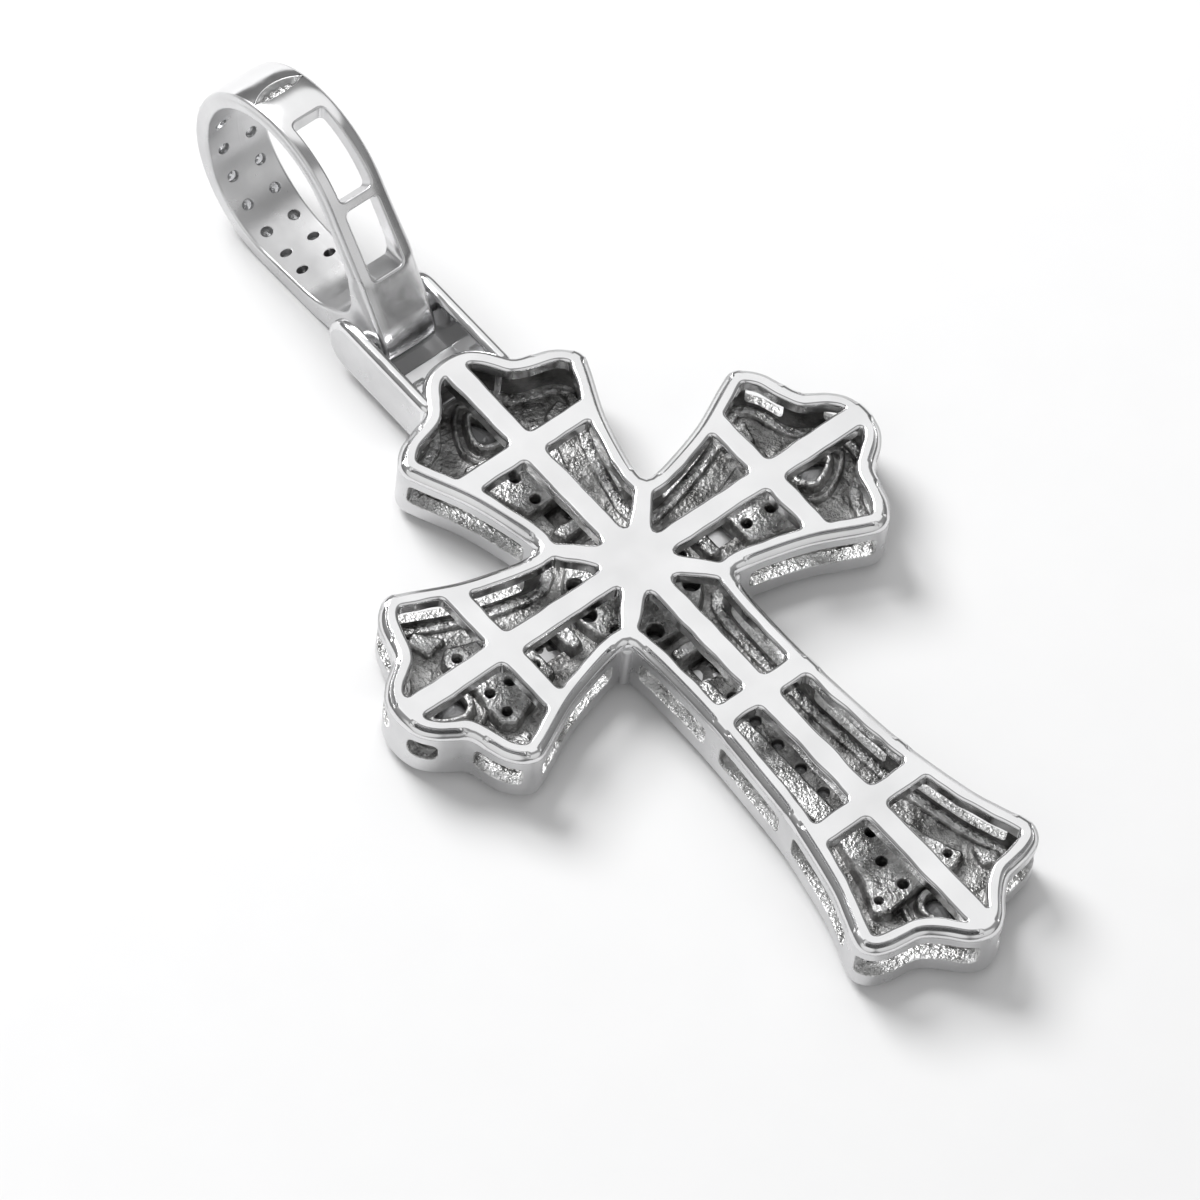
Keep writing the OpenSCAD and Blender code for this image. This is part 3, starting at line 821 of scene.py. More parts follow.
# Floor inside the hollow: rough as cast, with raised blocks, pockets and the small holes behind the stones
floorInside = {
    "height": 0.95, "blockHeight": 1.6, "spacing": 0.2, "rough": 0.04, "blockRough": 0.055,
    "ledgeRough": 0.07, "wavy": 0.07, "blockCorner": 0.25, "pocket": (4.9, 6.2, 0.6), "pocketCorner": 0.18,
    "pocketBottom": 0.45, "pocketReach": 0.1, "pocketSpacing": 0.25, "pocketRough": 0.05,
    # outlines of the raised blocks as (distance, offset)
    "shortBlocks": [[(4.05, -1.05), (4.85, -1.15), (4.85, 1.15), (4.05, 1.05)],
                    [(6.25, -1.5), (8.9, -2.45), (9.7, -2.75), (10.3, -2.2), (10.2, -1.1), (10.0, 0),
                     (10.2, 1.1), (10.3, 2.2), (9.7, 2.75), (8.9, 2.45), (6.25, 1.5)]],
    "shortLedges": [[(9.1, 3.15), (10.5, 3.0), (10.9, 4.2), (10.2, 4.6)],
                    [(10.2, -4.6), (10.9, -4.2), (10.5, -3.0), (9.1, -3.15)]],
    "footBlocks": [[(4.05, -1.05), (4.85, -1.15), (4.85, 1.15), (4.05, 1.05)],
                   [(6.3, -1.5), (16.6, -1.8), (16.6, -0.5), (6.3, -0.55)],
                   [(6.3, 0.55), (16.6, 0.5), (16.6, 1.8), (6.3, 1.5)],
                   [(17.0, -1.5), (19.5, -2.1), (21.4, -2.85), (21.8, -2.1), (21.6, 0), (21.8, 2.1),
                    (21.4, 2.85), (19.5, 2.1), (17.0, 1.5)]],
    "footLedges": [[(21.0, 3.6), (22.3, 3.2), (22.9, 4.1), (22.2, 4.5)],
                   [(22.2, -4.5), (22.9, -4.1), (22.3, -3.2), (21.0, -3.6)]],
    "ledgeHeight": 1.28, "discRadius": 3.45, "discHeight": 1.6, "edgeLedge": 1.14,
    # small holes as (distance, offset, radius)
    "shortHoles": [(6.8, 0.62, 0.28), (8.35, 0.62, 0.3), (9.6, 0.6, 0.26), (9.6, 1.9, 0.26)],
    "footHoles": [(7.65, 0, 0.28), (9.35, 0, 0.28), (11.05, 0, 0.28), (12.75, 0, 0.28), (14.45, 0, 0.28),
                  (16.15, 0, 0.28), (17.8, 0, 0.28), (19.35, 0.66, 0.28), (20.95, 0.66, 0.28),
                  (20.95, 2.2, 0.22)],
    "ringHole": 0.44, "ringRadius": 2.85, "centreHole": 1.0,
    "pearAt": (11.35, 11.35, 11.35, 22.75), "pearLength": 1.2, "pearHalf": 0.62,
    # edges as rows of (into the metal, depth, lean)
    "sheetEdge": [(0, 0, 0), (0, 0.3, quarter)],
    "pitEdge": [(0.04, 0, 0), (0, 0.05, quarter), (0, 0.7, quarter)],
    "ledgeEdge": [(0.1, 0, 0), (0.03, 0.04, 0.8), (0, 0.2, quarter)],
    "blockEdge": [(0.14, 0, 0), (0.04, 0.05, 0.8), (0, 0.16, quarter), (-0.1, 0.72, quarter)],
    "holeEdge": [(0.04, 0, 0), (0, 0.05, quarter), (0, 0.9, quarter)],
}
coverEdge = [(0, 0, 0), (0, 0.05, 1.5)]    # edge of a plain sheet that closes a recess from below


def castSheet(shape, height, line, holes, rows, holeRows, spacing, slots, rough):
    # one rough side, as cast, that faces the open back
    pierced(shape, flatUp(height), line, holes, rows, holeRows, spacing=spacing, slots=slots, rough=rough,
            back=False, smooth=False)


def discHoles(look):
    turns = [math.radians(36 * k) for k in range(10)]
    ring = [circle(look["ringRadius"] * math.cos(t), look["ringRadius"] * math.sin(t), look["ringHole"], 18)
            for t in turns]
    return ring + [circle(0, 0, look["centreHole"], 24)]


def armHoles(look, arm, low=0, high=math.inf):
    found = []
    for a, w, r in look["footHoles" if arm == footArm else "shortHoles"]:
        if low < a < high:
            for side in ((-1, 1) if w else (1,)):
                x, y = armPoint(arm, a, side * w)
                found.append(circle(x, y, r, 14))
    return found


def pocketLine(look, arm):
    a, b, w = look["pocket"]
    corners = [armPoint(arm, *p) for p in rectangle(a, b, -w, w)]
    return filled(softened(corners, look["pocketCorner"]), 0.25)


def blockLine(look, arm, block):
    # a raised block's outline with soft corners and uneven sides
    wavy = look["wavy"]
    line = filled(softened([armPoint(arm, *p) for p in block], look["blockCorner"]), 0.25)
    return [(x + wavy * noise.noise(Vector((x, y, 3)) * 2), y + wavy * noise.noise(Vector((x, y, 9)) * 2))
            for x, y in line]


def makeFloor(shape, look):
    holes = discHoles(look)
    for arm in range(4):
        holes += armHoles(look, arm) + [pocketLine(look, arm)]
        holes.append(pearLine(arm, look["pearAt"][arm], look["pearHalf"], look["pearLength"]))
    castSheet(shape, look["height"], inset(outline, 0.3), holes, look["sheetEdge"], look["pitEdge"],
              look["spacing"], (onFloorShade, onInsideShade, onInsideShade), look["rough"])
    castSheet(shape, look["edgeLedge"], inset(outline, 0.4), [inset(outline, 1.05)], look["sheetEdge"],
              look["ledgeEdge"], look["spacing"], (onCast, onFloorShade, onInsideShade), look["ledgeRough"])
    report("floor made")


def makeBlocks(shape, look):
    fine = look["spacing"] * 0.8
    for arm in range(4):
        kind = "foot" if arm == footArm else "short"
        blocks = [(b, look["blockHeight"]) for b in look[kind + "Blocks"]]
        blocks += [(b, look["ledgeHeight"]) for b in look[kind + "Ledges"]]
        for block, height in blocks:
            line = blockLine(look, arm, block)
            along = [p[0] for p in block]
            # only the holes that lie well inside the block
            holes = [h for h in armHoles(look, arm, min(along), max(along))
                     if all(insideOf(h, line)) and min(gapTo(h, line)) > 0.1]
            castSheet(shape, height, line, holes, look["blockEdge"], look["holeEdge"], fine,
                      (onCast, onFloorShade, onCast), look["blockRough"])
    castSheet(shape, look["discHeight"], circle(0, 0, look["discRadius"], 72), discHoles(look),
              look["blockEdge"], look["holeEdge"], fine, (onCast, onFloorShade, onCast), look["blockRough"])
    report("raised blocks made")


makeFloor(body, floorInside)
makeBlocks(body, floorInside)


# Pocket bottoms, and the raised collars and ridges round the pear-shaped holes
collarLook = {
    "height": 1.5, "wide": 0.36, "spacing": 0.16, "rough": 0.05, "shift": 0.05, "stretch": 1.3,
    "edge": [(0.12, 0, 0), (0.04, 0.05, 0.8), (0, 0.14, 1.5), (-0.12, 0.6, 1.4)],
    "holeEdge": [(0.08, 0, 0), (0, 0.08, 1.5), (0, 0.9, 1.57)],
    "ridges": (0.75, 1.45), "ridge": 0.3, "ridgeHeight": 1.25, "ridgeStretch": 1.2, "ridgeRough": 0.04,
    "wallGap": 0.5, "ridgeEdge": [(0.1, 0, 0), (0.03, 0.05, 0.8), (0, 0.4, 1.57)],
}


def makePocket(shape, look, arm):
    low, high, half = look["pocket"]
    reach = look["pocketReach"]
    corners = rectangle(low - reach, high + reach, -half - reach, half + reach)
    line = filled([armPoint(arm, *p) for p in corners], 0.3)
    castSheet(shape, look["pocketBottom"], line, [], coverEdge, [], look["pocketSpacing"],
              (onInsideShade, onInsideShade, onInsideShade), look["pocketRough"])


def makeCollar(shape, look, arm):
    half, length, start = floorInside["pearHalf"], floorInside["pearLength"], floorInside["pearAt"][arm]
    hole = pearLine(arm, start, half, length, 32)
    start, wide = start - look["shift"], look["wide"]
    outer = pearLine(arm, start, half + wide, length + wide * look["stretch"], 36)
    castSheet(shape, look["height"], outer, [hole], look["edge"], look["holeEdge"], look["spacing"],
              (onCast, onFloorShade, onCast), look["rough"])
    for step in look["ridges"]:
        near, far = (pearLine(arm, start, half + w, length + w * look["ridgeStretch"], 44)
                     for w in (step, step + look["ridge"]))
        # only the ridges that stay clear of the side wall
        if min(gapTo(far, outline)) > look["wallGap"]:
            castSheet(shape, look["ridgeHeight"], far, [near], look["edge"], look["ridgeEdge"],
                      look["spacing"], (onFloorShade, onFloorShade, onCast), look["ridgeRough"])


for holeArm in range(4):
    makePocket(body, floorInside, holeArm)
    makeCollar(body, collarLook, holeArm)
report("pockets and collars made")


# Ears, with the plate between them
earLook = {"inner": 2.05, "thickness": 0.75, "start": 12.9, "bottom": 0.55, "top": 3.85, "edge": 0.34,
           "reach": 18.9}
bridgeLook = {
    "start": 14.0, "end": 16.6, "bottom": 0.55, "thickness": 0.8, "edge": 0.12, "overlap": 0.1,
    "marks": [(-1.75, -0.35), (0.8, 1.45)], "markAt": 15.75, "markHalf": 0.14, "markCorner": 0.12,
    "markDepth": 0.28, "markFloorHalf": 0.3, "markEdge": [(0.05, 0, 0), (0, 0.04, 1.57), (0, 0.3, 1.57)],
}


def makeEars(shape, look):
    height = (look["top"] - look["bottom"]) / 2
    level = (look["top"] + look["bottom"]) / 2
    reach, bends = look["reach"], 18
    line = [(look["start"], level - height), (reach, level - height)]
    line += [(reach + height * math.cos(t), level + height * math.sin(t))
             for t in (math.radians(-90 + 180 * k / bends) for k in range(1, bends))]
    line += [(reach, level + height), (look["start"], level + height)]
    line = filled(line, 0.5)
    rows = roundEdge(look["edge"], look["thickness"], look["edge"], 5)
    outer = look["inner"] + look["thickness"]
    slots = (onSatinShade, onPolished, onPolished)
    pierced(shape, lambda u, v, d: Vector((outer - d, u, v)), line, [], rows, [], slots=slots)
    line = [(-y, z) for y, z in line]
    pierced(shape, lambda u, v, d: Vector((d - outer, -u, v)), line, [], rows, [], slots=slots)


def makeBridge(shape, look):
    half = earLook["inner"] + look["overlap"]
    top, y, deep = look["bottom"] + look["thickness"], look["markAt"], look["markHalf"]
    marks = [filled(softened(rectangle(low, high, y - deep, y + deep), look["markCorner"]), 0.2)
             for low, high in look["marks"]]
    pierced(shape, flatUp(top), rectangle(-half, half, look["start"], look["end"]), marks,
            roundEdge(look["edge"], look["thickness"], look["edge"]), look["markEdge"],
            slots=(onSatinShade, onSatinShade, onSatinShade))
    # bottom of the marks
    deep = look["markFloorHalf"]
    pierced(shape, flatUp(top - look["markDepth"]), rectangle(-half, half, y - deep, y + deep), [],
            coverEdge, [], slots=(onCast, onCast, onCast), back=False)


makeEars(body, earLook)
makeBridge(body, bridgeLook)


# Front: border and raised field with the seats of the stones
frontLook = {
    # heights of the border and the field, and how far in the border starts
    "border": 0.45, "field": 0.1, "borderInset": 0.14,
    "shortField": [(1.9, 1.9), (4.5, 2.05), (7.6, 2.85), (10.1, 3.95), (11.2, 3.7), (11.7, 2.6), (12.3, 1.6),
                   (13.1, 1.05), (13.5, 0)],
    "footField": [(1.9, 1.9), (5, 1.75), (9, 1.75), (13, 1.95), (16, 2.25), (19.6, 3), (22.2, 3.9), (23, 3.6),
                  (23.1, 2.4), (23.8, 1.5), (24.6, 0.95), (25, 0)],
    "disc": 3.9, "steps": 5, "cornerRadius": 0.3, "seatGap": 0.05, "pearHalf": 1.1, "pearLength": 1.85,
    "seatEdge": [(0.03, 0, 0), (0, 0.03, 1.57), (0, 0.32, 1.57)],
    "softEdge": [(0.1, 0, 0), (0.03, 0.03, 0.8), (0, 0.1, 1.57)],
}


def looseStones(node):
    # corners of the box and middle of each stone of a node, in millimetres in the frame
    work = bmesh.new()
    work.from_mesh(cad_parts[node].data)
    bmesh.ops.remove_doubles(work, verts=work.verts, dist=2e-6)
    found, seen = [], set()
    for v in work.verts:
        if v in seen:
            continue
        group, queue = [], [v]
        seen.add(v)
        while queue:
            w = queue.pop()
            group.append(w.co / mm)
            for e in w.link_edges:
                o = e.other_vert(w)
                if o not in seen:
                    seen.add(o)
                    queue.append(o)
        low = Vector(min(p[k] for p in group) for k in range(3))
        high = Vector(max(p[k] for p in group) for k in range(3))
        found.append({"low": low, "high": high, "middle": (low + high) / 2})
    work.free()
    return found


haloNodes = ["halo_stone_%d" % k for k in range(1, 11)]
pearNodes = ["pear_stone_right", "pear_stone_top", "pear_stone_left", "pear_stone_foot"]
octagon = math.cos(math.pi / 8)


def roundStones(nodes):
    found = []
    for node in nodes:
        for s in looseStones(node):
            at = s["middle"] - crossing
            found.append((at.x, at.y, (s["high"].x - s["low"].x) / 2 / octagon, s["low"].z))
    return found


borderStones = roundStones(["border_stones"])
fieldStones = roundStones(["centre_stone"] + haloNodes + ["arm_stones"])


def fieldLine(look):
    points = []
    for arm in range(4):
        side = look["footField" if arm == footArm else "shortField"]
        points += [armPoint(arm, a, w) for a, w in curveThrough(bothSides(side), look["steps"])]
    # nowhere nearer to the middle than the disc
    angles = [math.atan2(y, x) for x, y in points]
    points = [p if math.hypot(*p) >= look["disc"] else (look["disc"] * math.cos(t), look["disc"] * math.sin(t))
              for p, t in zip(points, angles)]
    return filled(softened(points, look["cornerRadius"], 0.3), 0.5)


def makeFront(shape, look):
    slots = (onSatinShade, onPolished, onPolished)
    holes = [circle(x, -y, r + look["seatGap"], 16) for x, y, r, z in borderStones]
    pierced(shape, flatDown(look["border"]), mirrored(inset(outline, look["borderInset"])), holes,
            look["softEdge"] + [(0, 0.3, 1.57)], look["seatEdge"], slots=slots, back=False)
    holes = [circle(x, -y, r + look["seatGap"], 20 if r < 1 else 36) for x, y, r, z in fieldStones]
    for arm in range(4):
        line = pearLine(arm, floorInside["pearAt"][arm], look["pearHalf"], look["pearLength"], 28)
        holes.append(mirrored(line))
    pierced(shape, flatDown(look["field"]), mirrored(fieldLine(look)), holes,
            look["softEdge"] + [(0, 0.5, 1.57)], look["seatEdge"], slots=slots, back=False)


makeFront(body, frontLook)
makePiece("cross_metal", body, metals, "cross", onCross, ("cross_body",))
report("cross made")


# Bail: a loop drawn round three circles, with the back band pierced and stones in the front band
bailLook = {
    # circles as (distance from the pin, radius), pin first
    "outer": [(0, 1.73), (4, 3.88), (8.6, 5.88)], "inner": [(3.95, 2.2), (5.6, 3.55), (8.6, 4.9)],
    "round": 0.22, "frontHalf": 1.88, "backHalf": 1.7, "hingeHalf": 1.63,
    "windows": [(2.05, 5.6), (6.1, 10.75)], "windowHalf": 0.98, "windowCorner": 0.34,
    "windowEdge": roundEdge(0.12, 1.0, 0.1), "crown": 0.2, "spacing": 0.26, "step": 0.25,
    "crescentAt": 45, "crescentHalf": 1.4, "crescentHeight": 0.5, "crescentDepth": 0.4,
    "crescentFloor": (0.9, 1.45),
    "crescentEdge": [(0.06, 0, 0), (0, 0.06, 1.57), (0, 0.55, 1.57), (0.02, 1.0, 1.57)],
    "ribs": 0.06, "ribPitch": 14, "ribSpacing": 0.1, "ribRough": 0.07,
    "hole": 0.32, "seat": 0.76, "seatRim": 0.04, "stone": 0.74, "stoneDepth": 0.06,
    # height of the far circle when the front band lies on the table
    "farHeight": 5.9,
}
# depths up to this count from the outside, and as many before 1 from the inside
bailSkin = 0.35
bailLift = math.asin((bailLook["farHeight"] - pin.z) / bailLook["outer"][-1][0])


def dropLine(circles, counts):
    # arcs of the three circles joined by their common tangents, once round
    angles = []
    for (d0, r0), (d1, r1) in zip(circles, circles[1:]):
        angles.append(math.degrees(math.acos((r0 - r1) / (d1 - d0))))
    a, b = angles

    def arc(k, start, end, count):
        d, r = circles[k]
        turns = [math.radians(start + (end - start) * i / count) for i in range(count + 1)]
        return [(d + r * math.cos(t), r * math.sin(t)) for t in turns]

    def straight(p, q, count):
        return [(p[0] + (q[0] - p[0]) * i / count, p[1] + (q[1] - p[1]) * i / count) for i in range(1, count)]

    arcs = [arc(0, 180, 360 - a, counts[0]), arc(1, 360 - a, 360 - b, counts[2]),
            arc(2, 360 - b, 360 + b, counts[4]), arc(1, 360 + b, 360 + a, counts[2]),
            arc(0, 360 + a, 540, counts[0])]
    gaps = [counts[1], counts[3], counts[3], counts[1]]
    line = list(arcs[0])
    for following, gap in zip(arcs[1:], gaps):
        line += straight(line[-1], following[0], gap) + following
    return line


bailCounts = (10, 16, 4, 20, 120)
bailOuter = dropLine(bailLook["outer"], bailCounts)
bailInner = dropLine(bailLook["inner"], bailCounts)
bailBoth = [(*o, *i) for o, i in zip(bailOuter, bailInner)]
bailLengths = lengthsAlong(bailOuter, False)
bailTotal = float(bailLengths[-1])


def bailPlace(u, v, d):
    # u along the loop, v across it, d from its outside (0) to its inside (1)
    i = min(max(int(np.searchsorted(bailLengths, u % bailTotal, "right")) - 1, 0), len(bailBoth) - 2)
    t = (u % bailTotal - bailLengths[i]) / max(bailLengths[i + 1] - bailLengths[i], 1e-9)
    row = [p + (q - p) * t for p, q in zip(bailBoth[i], bailBoth[i + 1])]
    outer, inner = Vector(row[:2]), Vector(row[2:])
    thick = (inner - outer).length
    if d < 1 - bailSkin:
        # the band's outside is rounder at the back and the top than at the front
        lift = min(1, max(0, (outer.y + 4) / 6))
        d = min(0.6, d + bailLook["crown"] * lift * (abs(v) / bailLook["frontHalf"]) ** 4)
    if d > 1 - bailSkin:
        d = thick - (1 - d)
    elif d > bailSkin:
        d = bailSkin + (thick - 2 * bailSkin) * (d - bailSkin) / (1 - 2 * bailSkin)
    p = outer + (inner - outer) * (d / thick)
    return Vector((v, p.x, p.y))


def bailHalfWidth(look, u):
    y, z = bailPlace(u, 0, 0).yz
    along = look["hingeHalf"] + (look["frontHalf"] - look["hingeHalf"]) * min(1, max(0, (y + 2) / 11))
    level = look["frontHalf"] + (look["backHalf"] - look["frontHalf"]) * min(1, max(0, (z + 6) / 12))
    return min(along, level)


def bailRun(test):
    # place along the bail's outside where the test gives the least
    runs = [k * 0.02 for k in range(int(bailTotal / 0.02))]
    return min(runs, key=lambda u: test(bailPlace(u, 0, 0)))


def bailOpenings(look):
    holes = []
    for low, high in look["windows"]:
        # the 9 mm keep the search on the back band
        runs = [bailRun(lambda p: abs(p.y - y) + (9 if p.z < 0 else 0)) for y in (low, high)]
        half = look["windowHalf"]
        line = filled(softened(rectangle(*sorted(runs), -half, half), look["windowCorner"], parts=7), 0.25)
        holes.append((line, look["windowEdge"]))
    t = math.radians(look["crescentAt"])
    far = look["outer"][-1]
    top = Vector((0, far[0] + far[1] * math.cos(t), far[1] * math.sin(t)))
    u = bailRun(lambda p: (p - top).length)
    w, h = look["crescentHalf"], look["crescentHeight"]
    crescent = [(u - h * 0.8 + 0.55 * (v / w) ** 2, v) for v in (w * (k / 9 - 1) for k in range(19))]
    crescent += [(u + h + 0.12 * (v / w) ** 2 - 0.5 * abs(v / w) ** 3, v)
                 for v in (w * (1 - k / 9) for k in range(1, 18))]
    holes.append((filled(crescent, 0.2), look["crescentEdge"]))
    return holes, u


def bailStonePlaces():
    back = Matrix.Rotation(-bailLift, 4, "X")
    found = []
    for s in looseStones("bail_stones"):
        spot = back @ (s["middle"] - pin)
        u = bailRun(lambda p: math.hypot(p.y - spot.y, p.z - spot.z))
        found.append((u, spot.x))
    return sorted(found)


def seatRows(look, u, v):
    # a straight bore for the stone, then a cone down to the small hole
    room = bailHalfWidth(look, u) - look["round"] - abs(v) - look["seatRim"]
    step = min(look["seat"], room) - look["hole"]
    return [(step, 0, 0), (step - 0.02, 0.03, 1.57), (step - 0.02, 0.3, 1.57), (0.03, 0.6, 0.9),
            (0, 0.66, 1.57), (0, 0.94, 1.57), (0.05, 1.0, 3.14)]


def makeBail(look):
    shape = newShape()
    openings, crescentRun = bailOpenings(look)
    places = bailStonePlaces()
    openings += [(circle(u, v, look["hole"], 18), seatRows(look, u, v)) for u, v in places]
    runs = [float(u) for u in np.linspace(0, bailTotal, round(bailTotal / look["step"]) + 1)]
    rows = roundEdge(look["round"], 1.0, 0.2, 5)
    chains = [([(u, -bailHalfWidth(look, u)) for u in runs], rows),
              ([(u, bailHalfWidth(look, u)) for u in reversed(runs)], rows)]
    pierced(shape, bailPlace, chains, openings, rows, rows, spacing=look["spacing"], seam=True,
            slots=(onPolished, onSatinShade, onSatinShade))

    def ribbed(u, v, d):
        return bailPlace(u, v, d + look["crescentDepth"] + look["ribs"] * math.sin(look["ribPitch"] * v))

    along, across = look["crescentFloor"]
    floor = filled(rectangle(crescentRun - along, crescentRun + along, -across, across), 0.2)
    pierced(shape, ribbed, floor, [], coverEdge, [], spacing=look["ribSpacing"],
            slots=(onCast, onCast, onCast), rough=look["ribRough"], back=False, smooth=False)
    move = Matrix.Translation(pin) @ Matrix.Rotation(bailLift, 4, "X")
    makePiece("bail_metal", shape, metals, "bail", move, ("bail",))
    return places, move


bailPlaces, onBail = makeBail(bailLook)
report("bail made")


# Stones: a full cut with table, crown, girdle and pavilion
stoneCut = {"table": 0.56, "crown": 0.3, "girdle": 0.05, "pavilion": 0.8, "sink": 0.02}


def addStone(shape, line, radius, move, cut):
    # line gives the girdle's place at an angle; the table faces -Z
    # rings as (share of the girdle, depth, corners, turn)
    rings = [(cut["table"], 0.0, 8, 0.0), (0.8, 0.17, 8, 0.5), (1.0, cut["crown"], 16, 0.0),
             (1.0, cut["crown"] + cut["girdle"], 16, 0.0), (0.42, cut["crown"] + 0.5, 8, 0.0)]
    ids = []
    for size, depth, count, shift in rings:
        ring = []
        for k in range(count):
            t = 2 * math.pi * (k + shift) / count
            x, y = line(t)
            shape["verts"].append(move @ Vector((x * size, y * size, cut["sink"] + depth * radius)))
            shape["normals"].append(flatFace)
            ring.append(len(shape["verts"]) - 1)
        ids.append(ring)
    shape["verts"].append(move @ Vector((0, 0, cut["sink"] + (cut["crown"] + cut["pavilion"]) * radius)))
    shape["normals"].append(flatFace)
    tip = len(shape["verts"]) - 1
    table, crown, girdle, lower, pavilion = ids
    faces = [tuple(reversed(table))]
    for k in range(8):
        n = (k + 1) % 8
        faces += [(table[k], table[n], crown[k]), (table[k], crown[k], girdle[2 * k]),
                  (table[k], girdle[2 * k], crown[k - 1]),
                  (crown[k], girdle[(2 * k + 1) % 16], girdle[2 * k]),
                  (crown[k], girdle[(2 * k + 2) % 16], girdle[(2 * k + 1) % 16]),
                  (lower[2 * k], lower[(2 * k + 1) % 16], pavilion[k]),
                  (lower[(2 * k + 1) % 16], lower[(2 * k + 2) % 16], pavilion[n]),
                  (pavilion[k], lower[(2 * k + 1) % 16], pavilion[n]), (pavilion[k], pavilion[n], tip)]
    for k in range(16):
        n = (k + 1) % 16
        faces.append((girdle[k], girdle[n], lower[n], lower[k]))
    shape["faces"] += faces
    shape["slots"] += [0] * len(faces)


def roundLine(radius):
    return lambda t: (radius * math.cos(t), radius * math.sin(t))


def makeStones(name, stones, bodyName, move, replaces):
    shape = newShape()
    for line, radius, place in stones:
        addStone(shape, line, radius, place, stoneCut)
    piece = makePiece(name, shape, [stoneGlass], bodyName, move, replaces, smooth=False)
    lift = bmesh.new()
    lift.from_mesh(piece.data)
    bmesh.ops.recalc_face_normals(lift, faces=lift.faces)
    lift.to_mesh(piece.data)
    lift.free()


def flatStones(stones):
    return [(roundLine(r), r, Matrix.Translation((x, y, z - stoneCut["sink"]))) for x, y, r, z in stones]


ringEnd = 3.5
centreAndRing = [s for s in fieldStones if math.hypot(s[0], s[1]) < ringEnd]
armOnly = [s for s in fieldStones if math.hypot(s[0], s[1]) >= ringEnd]
makeStones("centre_and_ring_stones", flatStones(centreAndRing), "cross", onCross,
           ["centre_stone"] + haloNodes)
makeStones("arm_stones_cut", flatStones(armOnly), "cross", onCross, ["arm_stones"])
makeStones("border_stones_cut", flatStones(borderStones), "cross", onCross, ["border_stones"])
pearCut = {"radius": 1.0, "stretch": 1.75, "height": 0.04}


def pearGirdle(arm):
    return lambda t: armPoint(arm, *pearWay(t, pearCut["stretch"]))


for pearArm, pearNode in enumerate(pearNodes):
    pearMove = Matrix.Translation((*armPoint(pearArm, floorInside["pearAt"][pearArm], 0), pearCut["height"]))
    makeStones(pearNode + "_cut", [(pearGirdle(pearArm), pearCut["radius"], pearMove)], "cross", onCross,
               [pearNode])


def bailOutward(u, v, reach=0.3):
    along = bailPlace(u + reach, v, 0) - bailPlace(u - reach, v, 0)
    across = bailPlace(u, v + reach, 0) - bailPlace(u, v - reach, 0)
    return along.cross(across).normalized()


def bailStones(places, look):
    stones = []
    for u, v in places:
        turn = Vector((0, 0, 1)).rotation_difference(-bailOutward(u, v)).to_matrix().to_4x4()
        spot = Matrix.Translation(bailPlace(u, v, look["stoneDepth"]))
        stones.append((roundLine(look["stone"]), look["stone"], spot @ turn))
    return stones


makeStones("bail_stones_cut", bailStones(bailPlaces, bailLook), "bail", onBail, ["bail_stones"])
report("stones made")


# Beads of metal that hold the stones
beadLook = {
    "rings": 3, "sides": 7, "cover": 0.62, "radius": 0.17, "proud": 0.1, "away": 0.13, "apart": 0.3,
    "largeStone": 1.2, "bailSpread": (1, 0.62), "clear": 0.02,
    # two rows on the outside of the right ear as (x, first y, height, radius, lean)
    "earRows": [(2.78, 13.6, 1.0, 0.3, -0.3), (2.76, 13.96, 1.75, 0.24, 0.1)],
    "earBeads": 8, "earPitch": 0.72,
}


def addBead(shape, at, radius, up):
    # a flat-topped dome with its middle at the place given
    rings, sides = beadLook["rings"], beadLook["sides"]
    turn = Vector((0, 0, 1)).rotation_difference(up).to_matrix()
    first = len(shape["verts"])
    for j in range(rings + 1):
        lean = math.pi * beadLook["cover"] * (j + 0.5) / (rings + 0.5)
        for k in range(sides):
            t = 2 * math.pi * k / sides
            way = turn @ Vector((math.sin(lean) * math.cos(t), math.sin(lean) * math.sin(t), math.cos(lean)))
            shape["verts"].append(at + way * radius)
            shape["normals"].append(way)
    faces = [tuple(first + k for k in range(sides))]
    for j in range(rings):
        for k in range(sides):
            n = (k + 1) % sides
            a, b = first + j * sides, first + (j + 1) * sides
            faces.append((a + k, b + k, b + n, a + n))
    shape["faces"] += faces
    shape["slots"] += [onPolished] * len(faces)


def beadPlaces(stones, look):
    places = []
    for x, y, r, z in stones:
        count = 4 if r < look["largeStone"] else 8
        shift = math.atan2(y, x) + math.pi / 4
        for k in range(count):
            t = shift + 2 * math.pi * k / count
            p = (x + (r + look["away"]) * math.cos(t), y + (r + look["away"]) * math.sin(t))
            if all(math.dist(p, q) > look["apart"] for q in places):
                places.append(p)
    return places


def makeCrossBeads(look):
    shape = newShape()
    radius, down = look["radius"], Vector((0, 0, -1))
    for group, level in ((borderStones, frontLook["border"]), (fieldStones, frontLook["field"])):
        for x, y in beadPlaces(group, look):
            addBead(shape, Vector((x, y, level + radius - look["proud"])), radius, down)
    for k in range(look["earBeads"]):
        for x, start, height, size, lean in look["earRows"]:
            spot = Vector((x, start + k * look["earPitch"], height))
            addBead(shape, spot, size, Vector((1, 0, lean)).normalized())
    makePiece("cross_beads", shape, [polished], "cross", onCross)


def makeBailBeads(look):
    shape = newShape()
    along, across = look["bailSpread"]
    for u, v in bailPlaces:
        for place in ((u + du, v + dv) for du in (-along, along) for dv in (-across, across)):
            out = bailOutward(*place)
            surface = bailPlace(*place, 0)
            # flush where the bail touches the table or ends
            shown = onBail @ surface
            low, far = shown.z, cadHigh[1] / mm - shown.y
            proud = min(look["proud"], max(0, low - look["clear"]), max(0, far - look["clear"]))
            addBead(shape, surface + out * (proud - look["radius"]), look["radius"], out)
    makePiece("bail_beads", shape, [polished], "bail", onBail)


